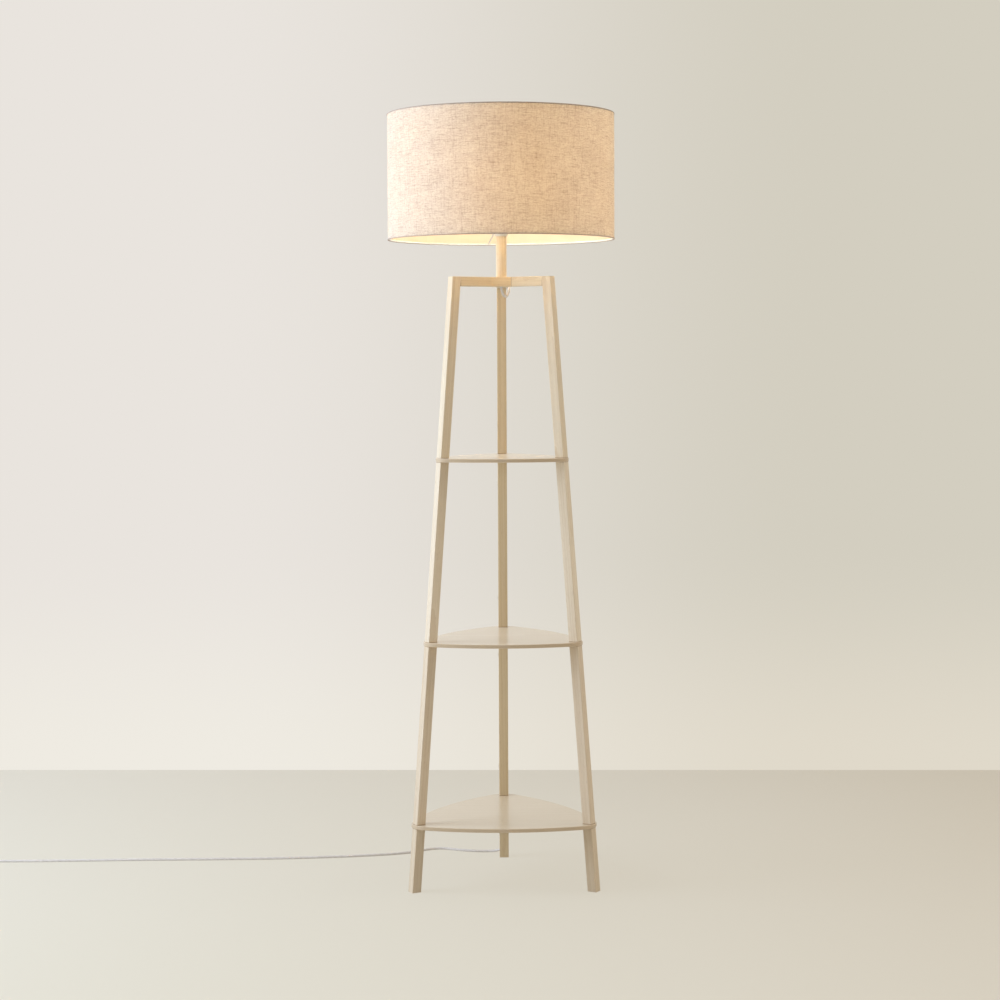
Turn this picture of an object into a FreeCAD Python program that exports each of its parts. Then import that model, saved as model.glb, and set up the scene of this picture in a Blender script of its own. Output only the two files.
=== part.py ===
"""Shelf floor lamp: three splayed square legs, three rounded triangular shelves and a drum shade.

Millimetres, +Z up. The origin is on the floor, on the lamp's vertical axis. The rear leg stands at
+Y, the two front legs at 210 and 330 degrees. Each leg is four lengths of square stock, screwed
together through the shelves. At the top three arms and a hub block tie the legs and carry the stem,
the lampholder and the shade.
"""
import FreeCAD, Part
import math
import os
from FreeCAD import Vector

# ---- wooden frame -----------------------------------------------------------------------------
LEG_AZIMUTHS = {"left": 210.0, "right": 330.0, "rear": 90.0}
LEG_SECTION = 19.0
LEG_SPREAD = 213.0          # axis to a leg's outer face, at the floor
LEG_SPLAY = 4.62            # degrees from vertical
FRAME_HEIGHT = 1207.5       # floor to the top of the legs and arms
EDGE_ROUND = 1.2            # eased long edges of the square stock
SHELF_TOPS = {"bottom": 132.5, "middle": 490.0, "top": 851.0}
SHELF_REACH = {"bottom": 144.8, "middle": 127.5, "top": 106.0}    # axis to the middle of a side
SHELF_CORNER = {"bottom": 39.0, "middle": 34.0, "top": 28.0}      # plan radius at the corners
SHELF_THICKNESS = 7.5
SHELF_OVERHANG = 2.5        # beyond the outer face of the legs
SHELF_EDGE_ROUND = 0.8
ARM_SECTION = 19.0
HUB_REACH = 27.5            # axis to the flat that an arm butts on

# ---- fasteners in the frame -------------------------------------------------------------------
SCREW_CLEARANCE = 0.15      # radial, round a fixed fastener
STUD_DIAMETER = 6.0
STUD_LENGTH = 50.0
INSERT_DIAMETER = 9.0
INSERT_LENGTH = 14.0
DOWEL_DIAMETER = 8.0
DOWEL_LENGTH = 30.0
DOWEL_IN_HUB = 11.0
BOLT_DIAMETER = 6.0
BOLT_HEAD_DIAMETER = 10.0
BOLT_HEAD_HEIGHT = 5.0
BOLT_SOCKET = 4.0           # across the flats of the hexagon recess
BOLT_SEAT_DEPTH = 9.0       # leg face to the shoulder under the bolt's head, at its shallow side
BOLT_CAP_THICKNESS = 2.4
BARREL_NUT_DIAMETER = 10.0
BARREL_NUT_LENGTH = 14.0
BARREL_NUT_INSET = 22.0     # arm's outer end to the nut's centre

# ---- stem and lampholder ----------------------------------------------------------------------
STEM_DIAMETER = 21.0
STEM_LENGTH = 81.2
NIPPLE_DIAMETER = 10.0
NIPPLE_BORE = 7.6
NIPPLE_IN_CAP = 8.0
NUT_FLATS = 14.0
NUT_THICKNESS = 4.0
WASHER_DIAMETER = 20.0
WASHER_THICKNESS = 1.5
HUB_RECESS_DIAMETER = 22.0
HUB_RECESS_DEPTH = 8.0
CAP_BASE_DIAMETER = 26.0
HOLDER_DIAMETER = 40.0
HOLDER_WALL = 2.0
CAP_BASE_HEIGHT = 6.0
CAP_FLARE_HEIGHT = 8.0
CAP_HEIGHT = 26.0
HOLDER_BODY_HEIGHT = 30.0
SHOULDER_DIAMETER = 50.0
SHOULDER_HEIGHT = 3.3
BLOCK_HEIGHT = 16.0
SCREW_SHELL_HEIGHT = 21.0
SCREW_SHELL_WALL = 0.4
SWITCH_AXIS_HEIGHT = 19.4   # above the lampholder's base
SWITCH_SHAFT_DIAMETER = 3.2
SWITCH_RUNNING_CLEARANCE = 0.06
SWITCH_BUSHING_DIAMETER = 9.0
SWITCH_BUSHING_REACH = 27.0
RING_NUT_FLATS = 11.0
RING_NUT_THICKNESS = 2.2
LEAD_IN_BLOCK = 4.0         # depth of the lead's entry in the switch block
KNOB_GAP = 0.5
KNOB_COLLAR_DIAMETER = 12.0
KNOB_COLLAR_LENGTH = 4.0
KNOB_WIDTH = 15.0
KNOB_THICKNESS = 5.0
KNOB_LENGTH = 15.0
KNOB_BEVEL = 0.9

# ---- bulb -------------------------------------------------------------------------------------
BULB_LENGTH = 104.0
BULB_DIAMETER = 60.0
BULB_CAP_DIAMETER = 26.0
BULB_CAP_LENGTH = 25.0
BULB_GLASS_WALL = 1.0
BULB_SHOULDER = 35.0        # degrees below the widest point where the neck's curve meets the ball
BULB_NECK_STEPS = 3
BULB_BALL_STEPS = 6
CONTACT_THICKNESS = 1.0

# ---- shade ------------------------------------------------------------------------------------
SHADE_DIAMETER = 450.0
SHADE_HEIGHT = 248.0
SHADE_DROP = 36.5           # fitter ring's underside above the shade's bottom edge
CLOTH_THICKNESS = 0.5
LINER_THICKNESS = 0.5
RING_WIRE = 3.5
RING_INSET = 0.4            # ring wire in from the shade's edge
SPOKE_WIRE = 3.0
SPOKE_AZIMUTHS = (96.7, 216.7, 336.7)
FITTER_BORE = 40.8
FITTER_DIAMETER = 56.0
FITTER_THICKNESS = 1.5
SHADE_NUT_HEIGHT = 9.0
SHADE_NUT_DIAMETER = 50.0
THREAD_CLEARANCE = 0.2

# ---- mains lead -------------------------------------------------------------------------------
CORD_DIAMETER = 5.0
CORD_CLEARANCE = 0.3        # between the lead and the wood it runs along
CLIP_BORE_CLEARANCE = 0.15
CLIP_WALL = 1.6
CLIP_LENGTH = 8.0
CLIP_LUG = 6.5
NAIL_DIAMETER = 1.8
NAIL_LENGTH = 11.0
NAIL_HEAD_THICKNESS = 0.8
NAIL_CLEARANCE = 0.05
LOWEST_CLIP = 50.0          # above the floor
CLIP_TO_SHELF = 60.0        # clip to the top of the nearest shelf
HIGHEST_CLIP_DROP = 87.5    # top of the frame to the highest clip on the leg
ARM_CLIP_INSET = 15.0       # arm's outer end to the clip on it
COIL_CENTRE = (-1095.0, 142.0)
COIL_MID_RADIUS = 27.5      # to the middle of the turns
COIL_COLUMNS = 2
COIL_LAYERS = 2
COIL_LEAD = 22.0
TIE_WIDTH = 8.0
TIE_THICKNESS = 1.0
PLUG_WIDTH = 24.0
PLUG_HEIGHT = 14.0
PLUG_LENGTH = 30.0
PLUG_RELIEF_LENGTH = 22.0
PLUG_RELIEF_THIN = 0.8      # relief's wall round the lead, at its two ends
PLUG_RELIEF_THICK = 2.6
PLUG_BEVEL = 2.0
BLADE_WIDTH = 6.3
BLADE_THICKNESS = 1.5
BLADE_LENGTH = 17.0
BLADE_SPACING = 12.7

# ---- heights and radii that follow ------------------------------------------------------------
SPLAY = math.radians(LEG_SPLAY)
SECTION_ACROSS = LEG_SECTION / math.cos(SPLAY)      # a leg's depth, measured level
ARM_UNDERSIDE = FRAME_HEIGHT - ARM_SECTION
ARM_CENTRE = FRAME_HEIGHT - ARM_SECTION / 2
HOLDER_BASE = FRAME_HEIGHT + STEM_LENGTH
BLOCK_BASE = HOLDER_BASE + CAP_BASE_HEIGHT + CAP_FLARE_HEIGHT + 1.0
BLOCK_TOP = BLOCK_BASE + BLOCK_HEIGHT
CORD_TOP = BLOCK_BASE + LEAD_IN_BLOCK
BULB_TIP = BLOCK_TOP + CONTACT_THICKNESS
FITTER_UNDERSIDE = HOLDER_BASE + CAP_HEIGHT + SHOULDER_HEIGHT
SHADE_BOTTOM = FITTER_UNDERSIDE - SHADE_DROP
SHADE_TOP = SHADE_BOTTOM + SHADE_HEIGHT
LINER_INSIDE = SHADE_DIAMETER / 2 - CLOTH_THICKNESS - LINER_THICKNESS
RING_RADIUS = LINER_INSIDE - RING_WIRE / 2 - 0.1
CORD_RADIUS = CORD_DIAMETER / 2

# Small repeated pieces and long wires have few flat sides, so that the whole lamp stays light.
FASTENER_SIDES = 12
NAIL_SIDES = 6
WIRE_SIDES = 6
CORD_SIDES = 8

UP = Vector(0, 0, 1)


# ---- small helpers ----------------------------------------------------------------------------
def polar(radius, azimuth, z):
    """A point given by its distance from the lamp's axis, its azimuth in degrees and its height."""
    angle = math.radians(azimuth)
    return Vector(radius * math.cos(angle), radius * math.sin(angle), z)


def turned(shape, azimuth):
    """The shape, made at azimuth 0, turned about the lamp's axis."""
    copy = shape.copy()
    copy.rotate(Vector(0, 0, 0), UP, azimuth)
    return copy


def rod(diameter, start, end):
    return Part.makeCylinder(diameter / 2, (end - start).Length, start, end - start)


def ring_of_corners(diameter, sides, centre, direction):
    """A closed many-sided wire round a point, square to a direction."""
    spread = FreeCAD.Rotation(UP, direction)
    corners = [centre + spread.multVec(polar(diameter / 2, 360 * (step + 0.5) / sides, 0)) for step in range(sides)]
    return Part.makePolygon(corners + corners[:1])


def prism(diameter, sides, start, end):
    """A many-sided rod, its corners on the circle of the diameter."""
    return Part.Face(ring_of_corners(diameter, sides, start, end - start)).extrude(end - start)


def fastener(diameter, start, end):
    return prism(diameter, FASTENER_SIDES, start, end)


def revolved(outline):
    """A solid of revolution about the lamp's axis from (radius, height) corners."""
    points = [Vector(radius, 0, z) for radius, z in outline]
    face = Part.Face(Part.makePolygon(points + points[:1]))
    return face.revolve(Vector(0, 0, 0), UP, 360)


def sleeve(outer, inner, low, high):
    return revolved([(inner, low), (outer, low), (outer, high), (inner, high)])


def hexagon(flats, low, high):
    corner = flats / 2 / math.cos(math.radians(30))
    points = [polar(corner, 60 * step, low) for step in range(7)]
    return Part.Face(Part.makePolygon(points)).extrude(UP * (high - low))


def box_between(low, high):
    size = Vector(*high) - Vector(*low)
    return Part.makeBox(size.x, size.y, size.z, Vector(*low))


def along_edges(shape, direction, length):
    """The straight edges of a shape that run along a direction, at least as long as given."""
    picked = []
    for edge in shape.Edges:
        span = edge.Vertexes[-1].Point - edge.Vertexes[0].Point
        if span.Length >= length and abs(span.normalize().dot(direction)) > 0.999:
            picked.append(edge)
    return picked


# ---- legs -------------------------------------------------------------------------------------
LEG_DIRECTION = Vector(-math.sin(SPLAY), 0, math.cos(SPLAY))      # up a leg that stands at azimuth 0
LEG_NORMAL = Vector(math.cos(SPLAY), 0, math.sin(SPLAY))          # out of its outer face


def leg_outer(z):
    """Distance from the axis to a leg's outer face at a height."""
    return LEG_SPREAD - math.tan(SPLAY) * z


def leg_axis(z):
    """The point on the middle line of the leg at azimuth 0, at a height."""
    return Vector(leg_outer(z) - SECTION_ACROSS / 2, 0, z)


def leg_bar(edge_round):
    """The whole length of the leg at azimuth 0, longer than needed at both ends."""
    spare = 3 * LEG_SECTION
    length = FRAME_HEIGHT / math.cos(SPLAY) + 2 * spare
    bar = Part.makeBox(LEG_SECTION, LEG_SECTION, length, Vector(-LEG_SECTION, -LEG_SECTION / 2, -spare))
    if edge_round > 0:
        bar = bar.makeFillet(edge_round, along_edges(bar, UP, length * 0.9))
    bar.rotate(Vector(0, 0, 0), Vector(0, 1, 0), -LEG_SPLAY)
    bar.translate(Vector(LEG_SPREAD, 0, 0))
    return bar


def level_slab(low, high):
    reach = 2 * LEG_SPREAD
    return box_between((-reach, -reach, low), (reach, reach, high))


def shelf_underside(name):
    return SHELF_TOPS[name] - SHELF_THICKNESS


def stud_ends(name):
    """The two ends of the stud that passes through a shelf, on the leg at azimuth 0."""
    middle = leg_axis(SHELF_TOPS[name] - SHELF_THICKNESS / 2)
    return middle - LEG_DIRECTION * (STUD_LENGTH / 2), middle + LEG_DIRECTION * (STUD_LENGTH / 2)


def stud_hole(name, extra=0.0):
    start, end = stud_ends(name)
    return fastener(STUD_DIAMETER + 2 * SCREW_CLEARANCE + extra, start - LEG_DIRECTION, end + LEG_DIRECTION)


def insert_span(name):
    """Ends of the threaded insert that the stud enters, in the leg length above a shelf."""
    mouth = leg_axis(SHELF_TOPS[name])
    recess = LEG_DIRECTION * (0.5 + LEG_SECTION / 2 * math.tan(SPLAY))
    return mouth + recess, mouth + recess + LEG_DIRECTION * INSERT_LENGTH


def bolt_seat():
    """Distance from the axis to the shoulder under an arm bolt's head."""
    return leg_outer(ARM_CENTRE) - BOLT_SEAT_DEPTH


def arm_end():
    """Distance from the axis to the arm's outer end, at mid height."""
    return leg_outer(ARM_CENTRE) - SECTION_ACROSS


def leg_length(low, high, shelf_below, shelf_above):
    """One length of leg at azimuth 0, with the holes for what joins it to its neighbours."""
    piece = leg_bar(EDGE_ROUND).common(level_slab(low, high))
    if shelf_above:
        piece = piece.cut(stud_hole(shelf_above))
    if shelf_below:
        piece = piece.cut(stud_hole(shelf_below))
        _, top = insert_span(shelf_below)
        mouth = leg_axis(SHELF_TOPS[shelf_below]) - LEG_DIRECTION
        piece = piece.cut(fastener(INSERT_DIAMETER + 2 * SCREW_CLEARANCE, mouth, top))
    if not shelf_above:
        through = fastener(BOLT_DIAMETER + 2 * SCREW_CLEARANCE, polar(0, 0, ARM_CENTRE),
                           polar(leg_outer(0), 0, ARM_CENTRE))
        seat = fastener(BOLT_HEAD_DIAMETER + 4 * SCREW_CLEARANCE, polar(bolt_seat(), 0, ARM_CENTRE),
                        polar(leg_outer(0), 0, ARM_CENTRE))
        piece = piece.cut(through).cut(seat)
    return piece


def leg_nodes():
    """Twelve leg lengths, the studs and the threaded inserts."""
    heights = [("foot", 0.0, shelf_underside("bottom"), None, "bottom"),
               ("lower", SHELF_TOPS["bottom"], shelf_underside("middle"), "bottom", "middle"),
               ("middle", SHELF_TOPS["middle"], shelf_underside("top"), "middle", "top"),
               ("upper", SHELF_TOPS["top"], FRAME_HEIGHT, "top", None)]
    nodes = {}
    for part_name, low, high, below, above in heights:
        piece = leg_length(low, high, below, above)
        for leg, azimuth in LEG_AZIMUTHS.items():
            nodes[f"leg_{leg}_{part_name}"] = turned(piece, azimuth)
    studs = []
    inserts = []
    for shelf in SHELF_TOPS:
        start, end = stud_ends(shelf)
        stud = fastener(STUD_DIAMETER, start, end)
        low, high = insert_span(shelf)
        insert = fastener(INSERT_DIAMETER, low, high)
        insert = insert.cut(stud_hole(shelf))
        for azimuth in LEG_AZIMUTHS.values():
            studs.append(turned(stud, azimuth))
            inserts.append(turned(insert, azimuth))
    nodes["leg_studs"] = Part.makeCompound(studs)
    nodes["leg_inserts"] = Part.makeCompound(inserts)
    return nodes


# ---- shelves ----------------------------------------------------------------------------------
def shelf_outline(name, z):
    """Three long side arcs joined by three corner arcs, all tangent."""
    tip = leg_outer(SHELF_TOPS[name]) + SHELF_OVERHANG
    corner = SHELF_CORNER[name]
    reach = SHELF_REACH[name]
    centre = tip - corner                       # corner arc's centre, from the axis
    offset = centre / 2 - reach
    side = (corner ** 2 - offset ** 2 - 0.75 * centre ** 2) / (2 * (offset + corner))
    edges = []
    for azimuth in LEG_AZIMUTHS.values():
        corner_centre = polar(centre, azimuth, z)
        side_azimuth = azimuth + 60
        side_centre = polar(reach - side, side_azimuth, z)
        start = corner_centre + (corner_centre - side_centre).normalize() * corner
        following = polar(centre, azimuth + 120, z)
        end = following + (following - side_centre).normalize() * corner
        edges.append(Part.Arc(start, polar(reach, side_azimuth, z), end).toShape())
        previous_centre = polar(reach - side, azimuth - 60, z)
        arrive = corner_centre + (corner_centre - previous_centre).normalize() * corner
        edges.append(Part.Arc(arrive, polar(tip, azimuth, z), start).toShape())
    return Part.Wire(Part.__sortEdges__(edges))


def shelf(name):
    plate = Part.Face(shelf_outline(name, shelf_underside(name))).extrude(UP * SHELF_THICKNESS)
    rims = []
    for edge in plate.Edges:
        if abs(edge.Vertexes[0].Z - edge.Vertexes[-1].Z) < 0.01:
            rims.append(edge)
    plate = plate.makeChamfer(SHELF_EDGE_ROUND, rims)
    for azimuth in LEG_AZIMUTHS.values():
        plate = plate.cut(turned(stud_hole(name, extra=0.5), azimuth))
    return plate.cut(cord_groove())


def cord_line(z):
    """Middle of the lead where it runs down the back of the rear leg, at a height."""
    away = (CORD_CLEARANCE + CORD_RADIUS) / math.cos(SPLAY)
    return polar(leg_outer(z) + away, LEG_AZIMUTHS["rear"], z)


def cord_groove():
    """The notch in a shelf's rear corner that the lead passes through."""
    return rod(CORD_DIAMETER + 2 * CORD_CLEARANCE, cord_line(0), cord_line(FRAME_HEIGHT))


# ---- hub and arms -----------------------------------------------------------------------------
def dowel_ends():
    return (polar(HUB_REACH - DOWEL_IN_HUB, 0, ARM_CENTRE),
            polar(HUB_REACH - DOWEL_IN_HUB + DOWEL_LENGTH, 0, ARM_CENTRE))


def dowel_hole():
    start, end = dowel_ends()
    spare = Vector(0.5, 0, 0)
    return fastener(DOWEL_DIAMETER + 2 * SCREW_CLEARANCE, start - spare, end + spare)


def barrel_nut_place():
    return arm_end() - BARREL_NUT_INSET


def arm():
    """The arm at azimuth 0, from the hub's flat to the leg's sloping inner face."""
    half = ARM_SECTION / 2
    bar = box_between((HUB_REACH, -half, ARM_UNDERSIDE), (leg_axis(ARM_CENTRE).x, half, FRAME_HEIGHT))
    bar = bar.makeFillet(EDGE_ROUND, along_edges(bar, Vector(1, 0, 0), HUB_REACH))
    bar = bar.cut(leg_bar(0))
    bar = bar.cut(dowel_hole())
    nut_at = barrel_nut_place()
    bar = bar.cut(fastener(BOLT_DIAMETER + 2 * SCREW_CLEARANCE, polar(bolt_tip() - 2, 0, ARM_CENTRE),
                           polar(leg_outer(0), 0, ARM_CENTRE)))
    nut_top = ARM_CENTRE + BARREL_NUT_LENGTH / 2 + SCREW_CLEARANCE
    return bar.cut(fastener(BARREL_NUT_DIAMETER + 2 * SCREW_CLEARANCE, polar(nut_at, 0, ARM_UNDERSIDE - 1),
                            polar(nut_at, 0, nut_top)))


def bolt_tip():
    return barrel_nut_place() - BARREL_NUT_DIAMETER / 2 - 1.5


def arm_bolt():
    """A socket head bolt at azimuth 0, from its seat in the leg to just past the barrel nut."""
    seat = polar(bolt_seat(), 0, ARM_CENTRE)
    head_end = polar(bolt_seat() + BOLT_HEAD_HEIGHT, 0, ARM_CENTRE)
    shank = fastener(BOLT_DIAMETER, polar(bolt_tip(), 0, ARM_CENTRE), seat)
    bolt = shank.fuse(fastener(BOLT_HEAD_DIAMETER, seat, head_end))
    recess = hexagon(BOLT_SOCKET, 0, BOLT_HEAD_HEIGHT * 0.6)
    recess.rotate(Vector(0, 0, 0), Vector(0, 1, 0), -90)
    recess.translate(head_end)
    return bolt.cut(recess).removeSplitter()


def barrel_nut():
    place = barrel_nut_place()
    half = BARREL_NUT_LENGTH / 2
    nut = fastener(BARREL_NUT_DIAMETER, polar(place, 0, ARM_CENTRE - half), polar(place, 0, ARM_CENTRE + half))
    return nut.cut(fastener(BOLT_DIAMETER + 2 * SCREW_CLEARANCE, polar(place - LEG_SECTION, 0, ARM_CENTRE),
                            polar(place + LEG_SECTION, 0, ARM_CENTRE)))


def bolt_cap():
    """A wooden plug, flush with the leg's outer face, in the mouth of the bolt's counterbore."""
    inner = leg_outer(ARM_CENTRE) - BOLT_CAP_THICKNESS
    plug = fastener(BOLT_HEAD_DIAMETER + 2 * SCREW_CLEARANCE, polar(inner, 0, ARM_CENTRE),
                    polar(inner + LEG_SECTION, 0, ARM_CENTRE))
    return plug.common(leg_bar(0))


def hub():
    """The six-sided block that the arms butt on, bored for the threaded tube."""
    corners = []
    for azimuth in sorted(LEG_AZIMUTHS.values()):
        outward = polar(HUB_REACH, azimuth, ARM_UNDERSIDE)
        sideways = polar(ARM_SECTION / 2, azimuth + 90, 0)
        corners += [outward - sideways, outward + sideways]
    block = Part.Face(Part.makePolygon(corners + corners[:1])).extrude(UP * ARM_SECTION)
    long_rims = []
    for edge in block.Edges:
        level = abs(edge.Vertexes[0].Z - edge.Vertexes[-1].Z) < 0.01
        if level and abs(edge.Length - ARM_SECTION) > 0.01:
            long_rims.append(edge)
    block = block.makeFillet(EDGE_ROUND, long_rims)
    block = block.cut(rod(NIPPLE_DIAMETER + 2 * SCREW_CLEARANCE, Vector(0, 0, ARM_UNDERSIDE - 1),
                          Vector(0, 0, FRAME_HEIGHT + 1)))
    block = block.cut(rod(HUB_RECESS_DIAMETER, Vector(0, 0, ARM_UNDERSIDE - 1),
                          Vector(0, 0, ARM_UNDERSIDE + HUB_RECESS_DEPTH)))
    for azimuth in LEG_AZIMUTHS.values():
        block = block.cut(turned(dowel_hole(), azimuth))
    return block


def top_frame_nodes():
    start, end = dowel_ends()
    pieces = {"arm_dowels": fastener(DOWEL_DIAMETER, start, end), "arm_bolts": arm_bolt(),
              "arm_barrel_nuts": barrel_nut(), "bolt_caps": bolt_cap()}
    nodes = {"hub_block": hub()}
    whole_arm = arm()
    for leg, azimuth in LEG_AZIMUTHS.items():
        nodes[f"arm_{leg}"] = turned(whole_arm, azimuth)
    for name, piece in pieces.items():
        nodes[name] = Part.makeCompound([turned(piece, azimuth) for azimuth in LEG_AZIMUTHS.values()])
    return nodes


# ---- stem, threaded tube and lampholder -------------------------------------------------------
def stem_nodes():
    radius = STEM_DIAMETER / 2
    bore = NIPPLE_DIAMETER / 2 + SCREW_CLEARANCE
    ease = 0.6
    stem = revolved([(bore, FRAME_HEIGHT), (radius - ease, FRAME_HEIGHT), (radius, FRAME_HEIGHT + ease),
                     (radius, HOLDER_BASE - ease), (radius - ease, HOLDER_BASE), (bore, HOLDER_BASE)])
    recess_top = ARM_UNDERSIDE + HUB_RECESS_DEPTH
    washer_low = recess_top - WASHER_THICKNESS
    nut_low = washer_low - NUT_THICKNESS
    nipple_low = nut_low - 1.0
    nipple = sleeve(NIPPLE_DIAMETER / 2, NIPPLE_BORE / 2, nipple_low, HOLDER_BASE + NIPPLE_IN_CAP)
    nut = hexagon(NUT_FLATS, nut_low, washer_low).cut(rod(2 * bore, Vector(0, 0, nut_low - 1),
                                                          Vector(0, 0, washer_low + 1)))
    bush_bore = CORD_RADIUS + CLIP_BORE_CLEARANCE
    bush_skirt = NIPPLE_BORE / 2 - 0.1
    bush = revolved([(bush_bore, nipple_low - 1.5), (NIPPLE_DIAMETER / 2 + 0.6, nipple_low - 1.5),
                     (NIPPLE_DIAMETER / 2 + 0.6, nipple_low), (bush_skirt, nipple_low),
                     (bush_skirt, nipple_low + 5.0), (bush_bore, nipple_low + 5.0)])
    return {"stem": stem, "threaded_tube": nipple, "hub_nut": nut,
            "hub_washer": sleeve(WASHER_DIAMETER / 2, bore, washer_low, recess_top), "lead_bushing": bush}


def radial(shape_length, diameter, start_radius):
    """A rod along +X at the height of the switch's shaft."""
    z = HOLDER_BASE + SWITCH_AXIS_HEIGHT
    return rod(diameter, Vector(start_radius, 0, z), Vector(start_radius + shape_length, 0, z))


def holder_cap():
    """The lower shell of the lampholder: a narrow neck that flares to the full diameter."""
    neck = CAP_BASE_DIAMETER / 2
    radius = HOLDER_DIAMETER / 2
    bore = NIPPLE_DIAMETER / 2 + SCREW_CLEARANCE
    flare = HOLDER_BASE + CAP_BASE_HEIGHT
    full = flare + CAP_FLARE_HEIGHT
    top = HOLDER_BASE + CAP_HEIGHT
    floor = HOLDER_BASE + NIPPLE_IN_CAP + 1.0
    inside = radius - HOLDER_WALL
    outline = [(bore, HOLDER_BASE), (neck - 0.8, HOLDER_BASE), (neck, HOLDER_BASE + 0.8), (neck, flare)]
    steps = 3
    for step in range(1, steps + 1):
        turn = math.radians(90 * step / steps)
        outline.append((neck + (radius - neck) * (1 - math.cos(turn)), flare + CAP_FLARE_HEIGHT * math.sin(turn)))
    outline += [(radius, top), (inside, top), (inside, full + 0.5), (neck - HOLDER_WALL, floor), (bore, floor)]
    shell = revolved(outline)
    return shell.cut(radial(HOLDER_DIAMETER, SWITCH_BUSHING_DIAMETER + 2 * SCREW_CLEARANCE, inside - HOLDER_WALL))


def holder_body():
    """The upper shell, open at the top, with the shoulder that the shade's fitter ring rests on."""
    low = HOLDER_BASE + CAP_HEIGHT
    radius = HOLDER_DIAMETER / 2
    lip = SHOULDER_DIAMETER / 2
    thread = radius - THREAD_CLEARANCE
    well = radius - HOLDER_WALL
    throat = screw_shell_radius() + SCREW_SHELL_WALL + 0.15
    top = low + HOLDER_BODY_HEIGHT
    step = BLOCK_TOP + 0.3
    return revolved([(well, low), (radius, low), (lip, FITTER_UNDERSIDE - 1.2), (lip, FITTER_UNDERSIDE),
                     (thread, FITTER_UNDERSIDE), (thread, top - 0.8), (thread - 0.8, top), (throat, top),
                     (throat, step), (well, step)])


def screw_shell_radius():
    return BULB_CAP_DIAMETER / 2 + SCREW_CLEARANCE


def lampholder_nodes():
    z_axis = HOLDER_BASE + SWITCH_AXIS_HEIGHT
    block_radius = HOLDER_DIAMETER / 2 - HOLDER_WALL - 0.3
    block = rod(2 * block_radius, Vector(0, 0, BLOCK_BASE), Vector(0, 0, BLOCK_TOP))
    block = block.cut(rod(CORD_DIAMETER + 0.6, Vector(0, 0, BLOCK_BASE - 1), Vector(0, 0, CORD_TOP)))
    shaft_inner = CORD_DIAMETER + 2.0
    shaft_outer = SWITCH_BUSHING_REACH + KNOB_GAP + KNOB_COLLAR_LENGTH + KNOB_LENGTH / 2
    shaft_bore = SWITCH_SHAFT_DIAMETER + 2 * SWITCH_RUNNING_CLEARANCE
    block = block.cut(radial(HOLDER_DIAMETER, shaft_bore, shaft_inner - 0.5))
    bushing_start = block_radius + 0.1
    bushing = radial(SWITCH_BUSHING_REACH - bushing_start, SWITCH_BUSHING_DIAMETER, bushing_start)
    ring_nut = hexagon(RING_NUT_FLATS, 0, RING_NUT_THICKNESS)
    ring_nut.rotate(Vector(0, 0, 0), Vector(0, 1, 0), 90)
    ring_nut.translate(Vector(HOLDER_DIAMETER / 2 + 0.3, 0, z_axis))
    bushing = bushing.fuse(ring_nut).cut(radial(HOLDER_DIAMETER, shaft_bore, bushing_start - 1))
    shaft = radial(shaft_outer - shaft_inner, SWITCH_SHAFT_DIAMETER, shaft_inner)
    shell_in = screw_shell_radius()
    shell_low = BULB_TIP + 2.5
    screw_shell = sleeve(shell_in + SCREW_SHELL_WALL, shell_in, shell_low, shell_low + SCREW_SHELL_HEIGHT)
    contact = rod(BULB_CAP_DIAMETER / 3, Vector(0, 0, BLOCK_TOP), Vector(0, 0, BULB_TIP))
    nut_low = FITTER_UNDERSIDE + FITTER_THICKNESS
    nut_radius = SHADE_NUT_DIAMETER / 2
    shade_nut = revolved([(HOLDER_DIAMETER / 2, nut_low), (nut_radius, nut_low), (nut_radius, nut_low + 2.5),
                          (nut_radius - 2.0, nut_low + 3.2), (nut_radius - 2.0, nut_low + SHADE_NUT_HEIGHT - 0.8),
                          (nut_radius - 2.8, nut_low + SHADE_NUT_HEIGHT),
                          (HOLDER_DIAMETER / 2, nut_low + SHADE_NUT_HEIGHT)])
    return {"holder_cap": holder_cap(), "holder_body": holder_body(), "switch_block": block,
            "switch_bushing": bushing, "switch_shaft": shaft, "switch_knob": switch_knob(shaft_outer),
            "screw_shell": screw_shell, "centre_contact": contact, "shade_nut": shade_nut}


def switch_knob(shaft_outer):
    """A flat turn-key: a round collar and a rounded paddle, bored for the shaft."""
    z = HOLDER_BASE + SWITCH_AXIS_HEIGHT
    start = SWITCH_BUSHING_REACH + KNOB_GAP
    collar = radial(KNOB_COLLAR_LENGTH, KNOB_COLLAR_DIAMETER, start)
    paddle_start = start + KNOB_COLLAR_LENGTH - 0.5
    end = start + KNOB_COLLAR_LENGTH + KNOB_LENGTH
    half = KNOB_WIDTH / 2
    waist = KNOB_COLLAR_DIAMETER / 2 - 1.5
    profile = [Vector(paddle_start, 0, z - waist), Vector(end - half * 0.8, 0, z - half)]
    tip_arc = Part.Arc(profile[1], Vector(end, 0, z), Vector(end - half * 0.8, 0, z + half)).toShape()
    last = Vector(paddle_start, 0, z + waist)
    edges = [Part.LineSegment(profile[0], profile[1]).toShape(), tip_arc,
             Part.LineSegment(Vector(end - half * 0.8, 0, z + half), last).toShape(),
             Part.LineSegment(last, profile[0]).toShape()]
    paddle = Part.Face(Part.Wire(edges)).extrude(Vector(0, KNOB_THICKNESS, 0))
    paddle.translate(Vector(0, -KNOB_THICKNESS / 2, 0))
    paddle = paddle.makeChamfer(KNOB_BEVEL, paddle.Edges)
    knob = collar.fuse(paddle)
    return knob.cut(radial(shaft_outer - start + 1.1, SWITCH_SHAFT_DIAMETER + 0.1, start - 1))


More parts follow.
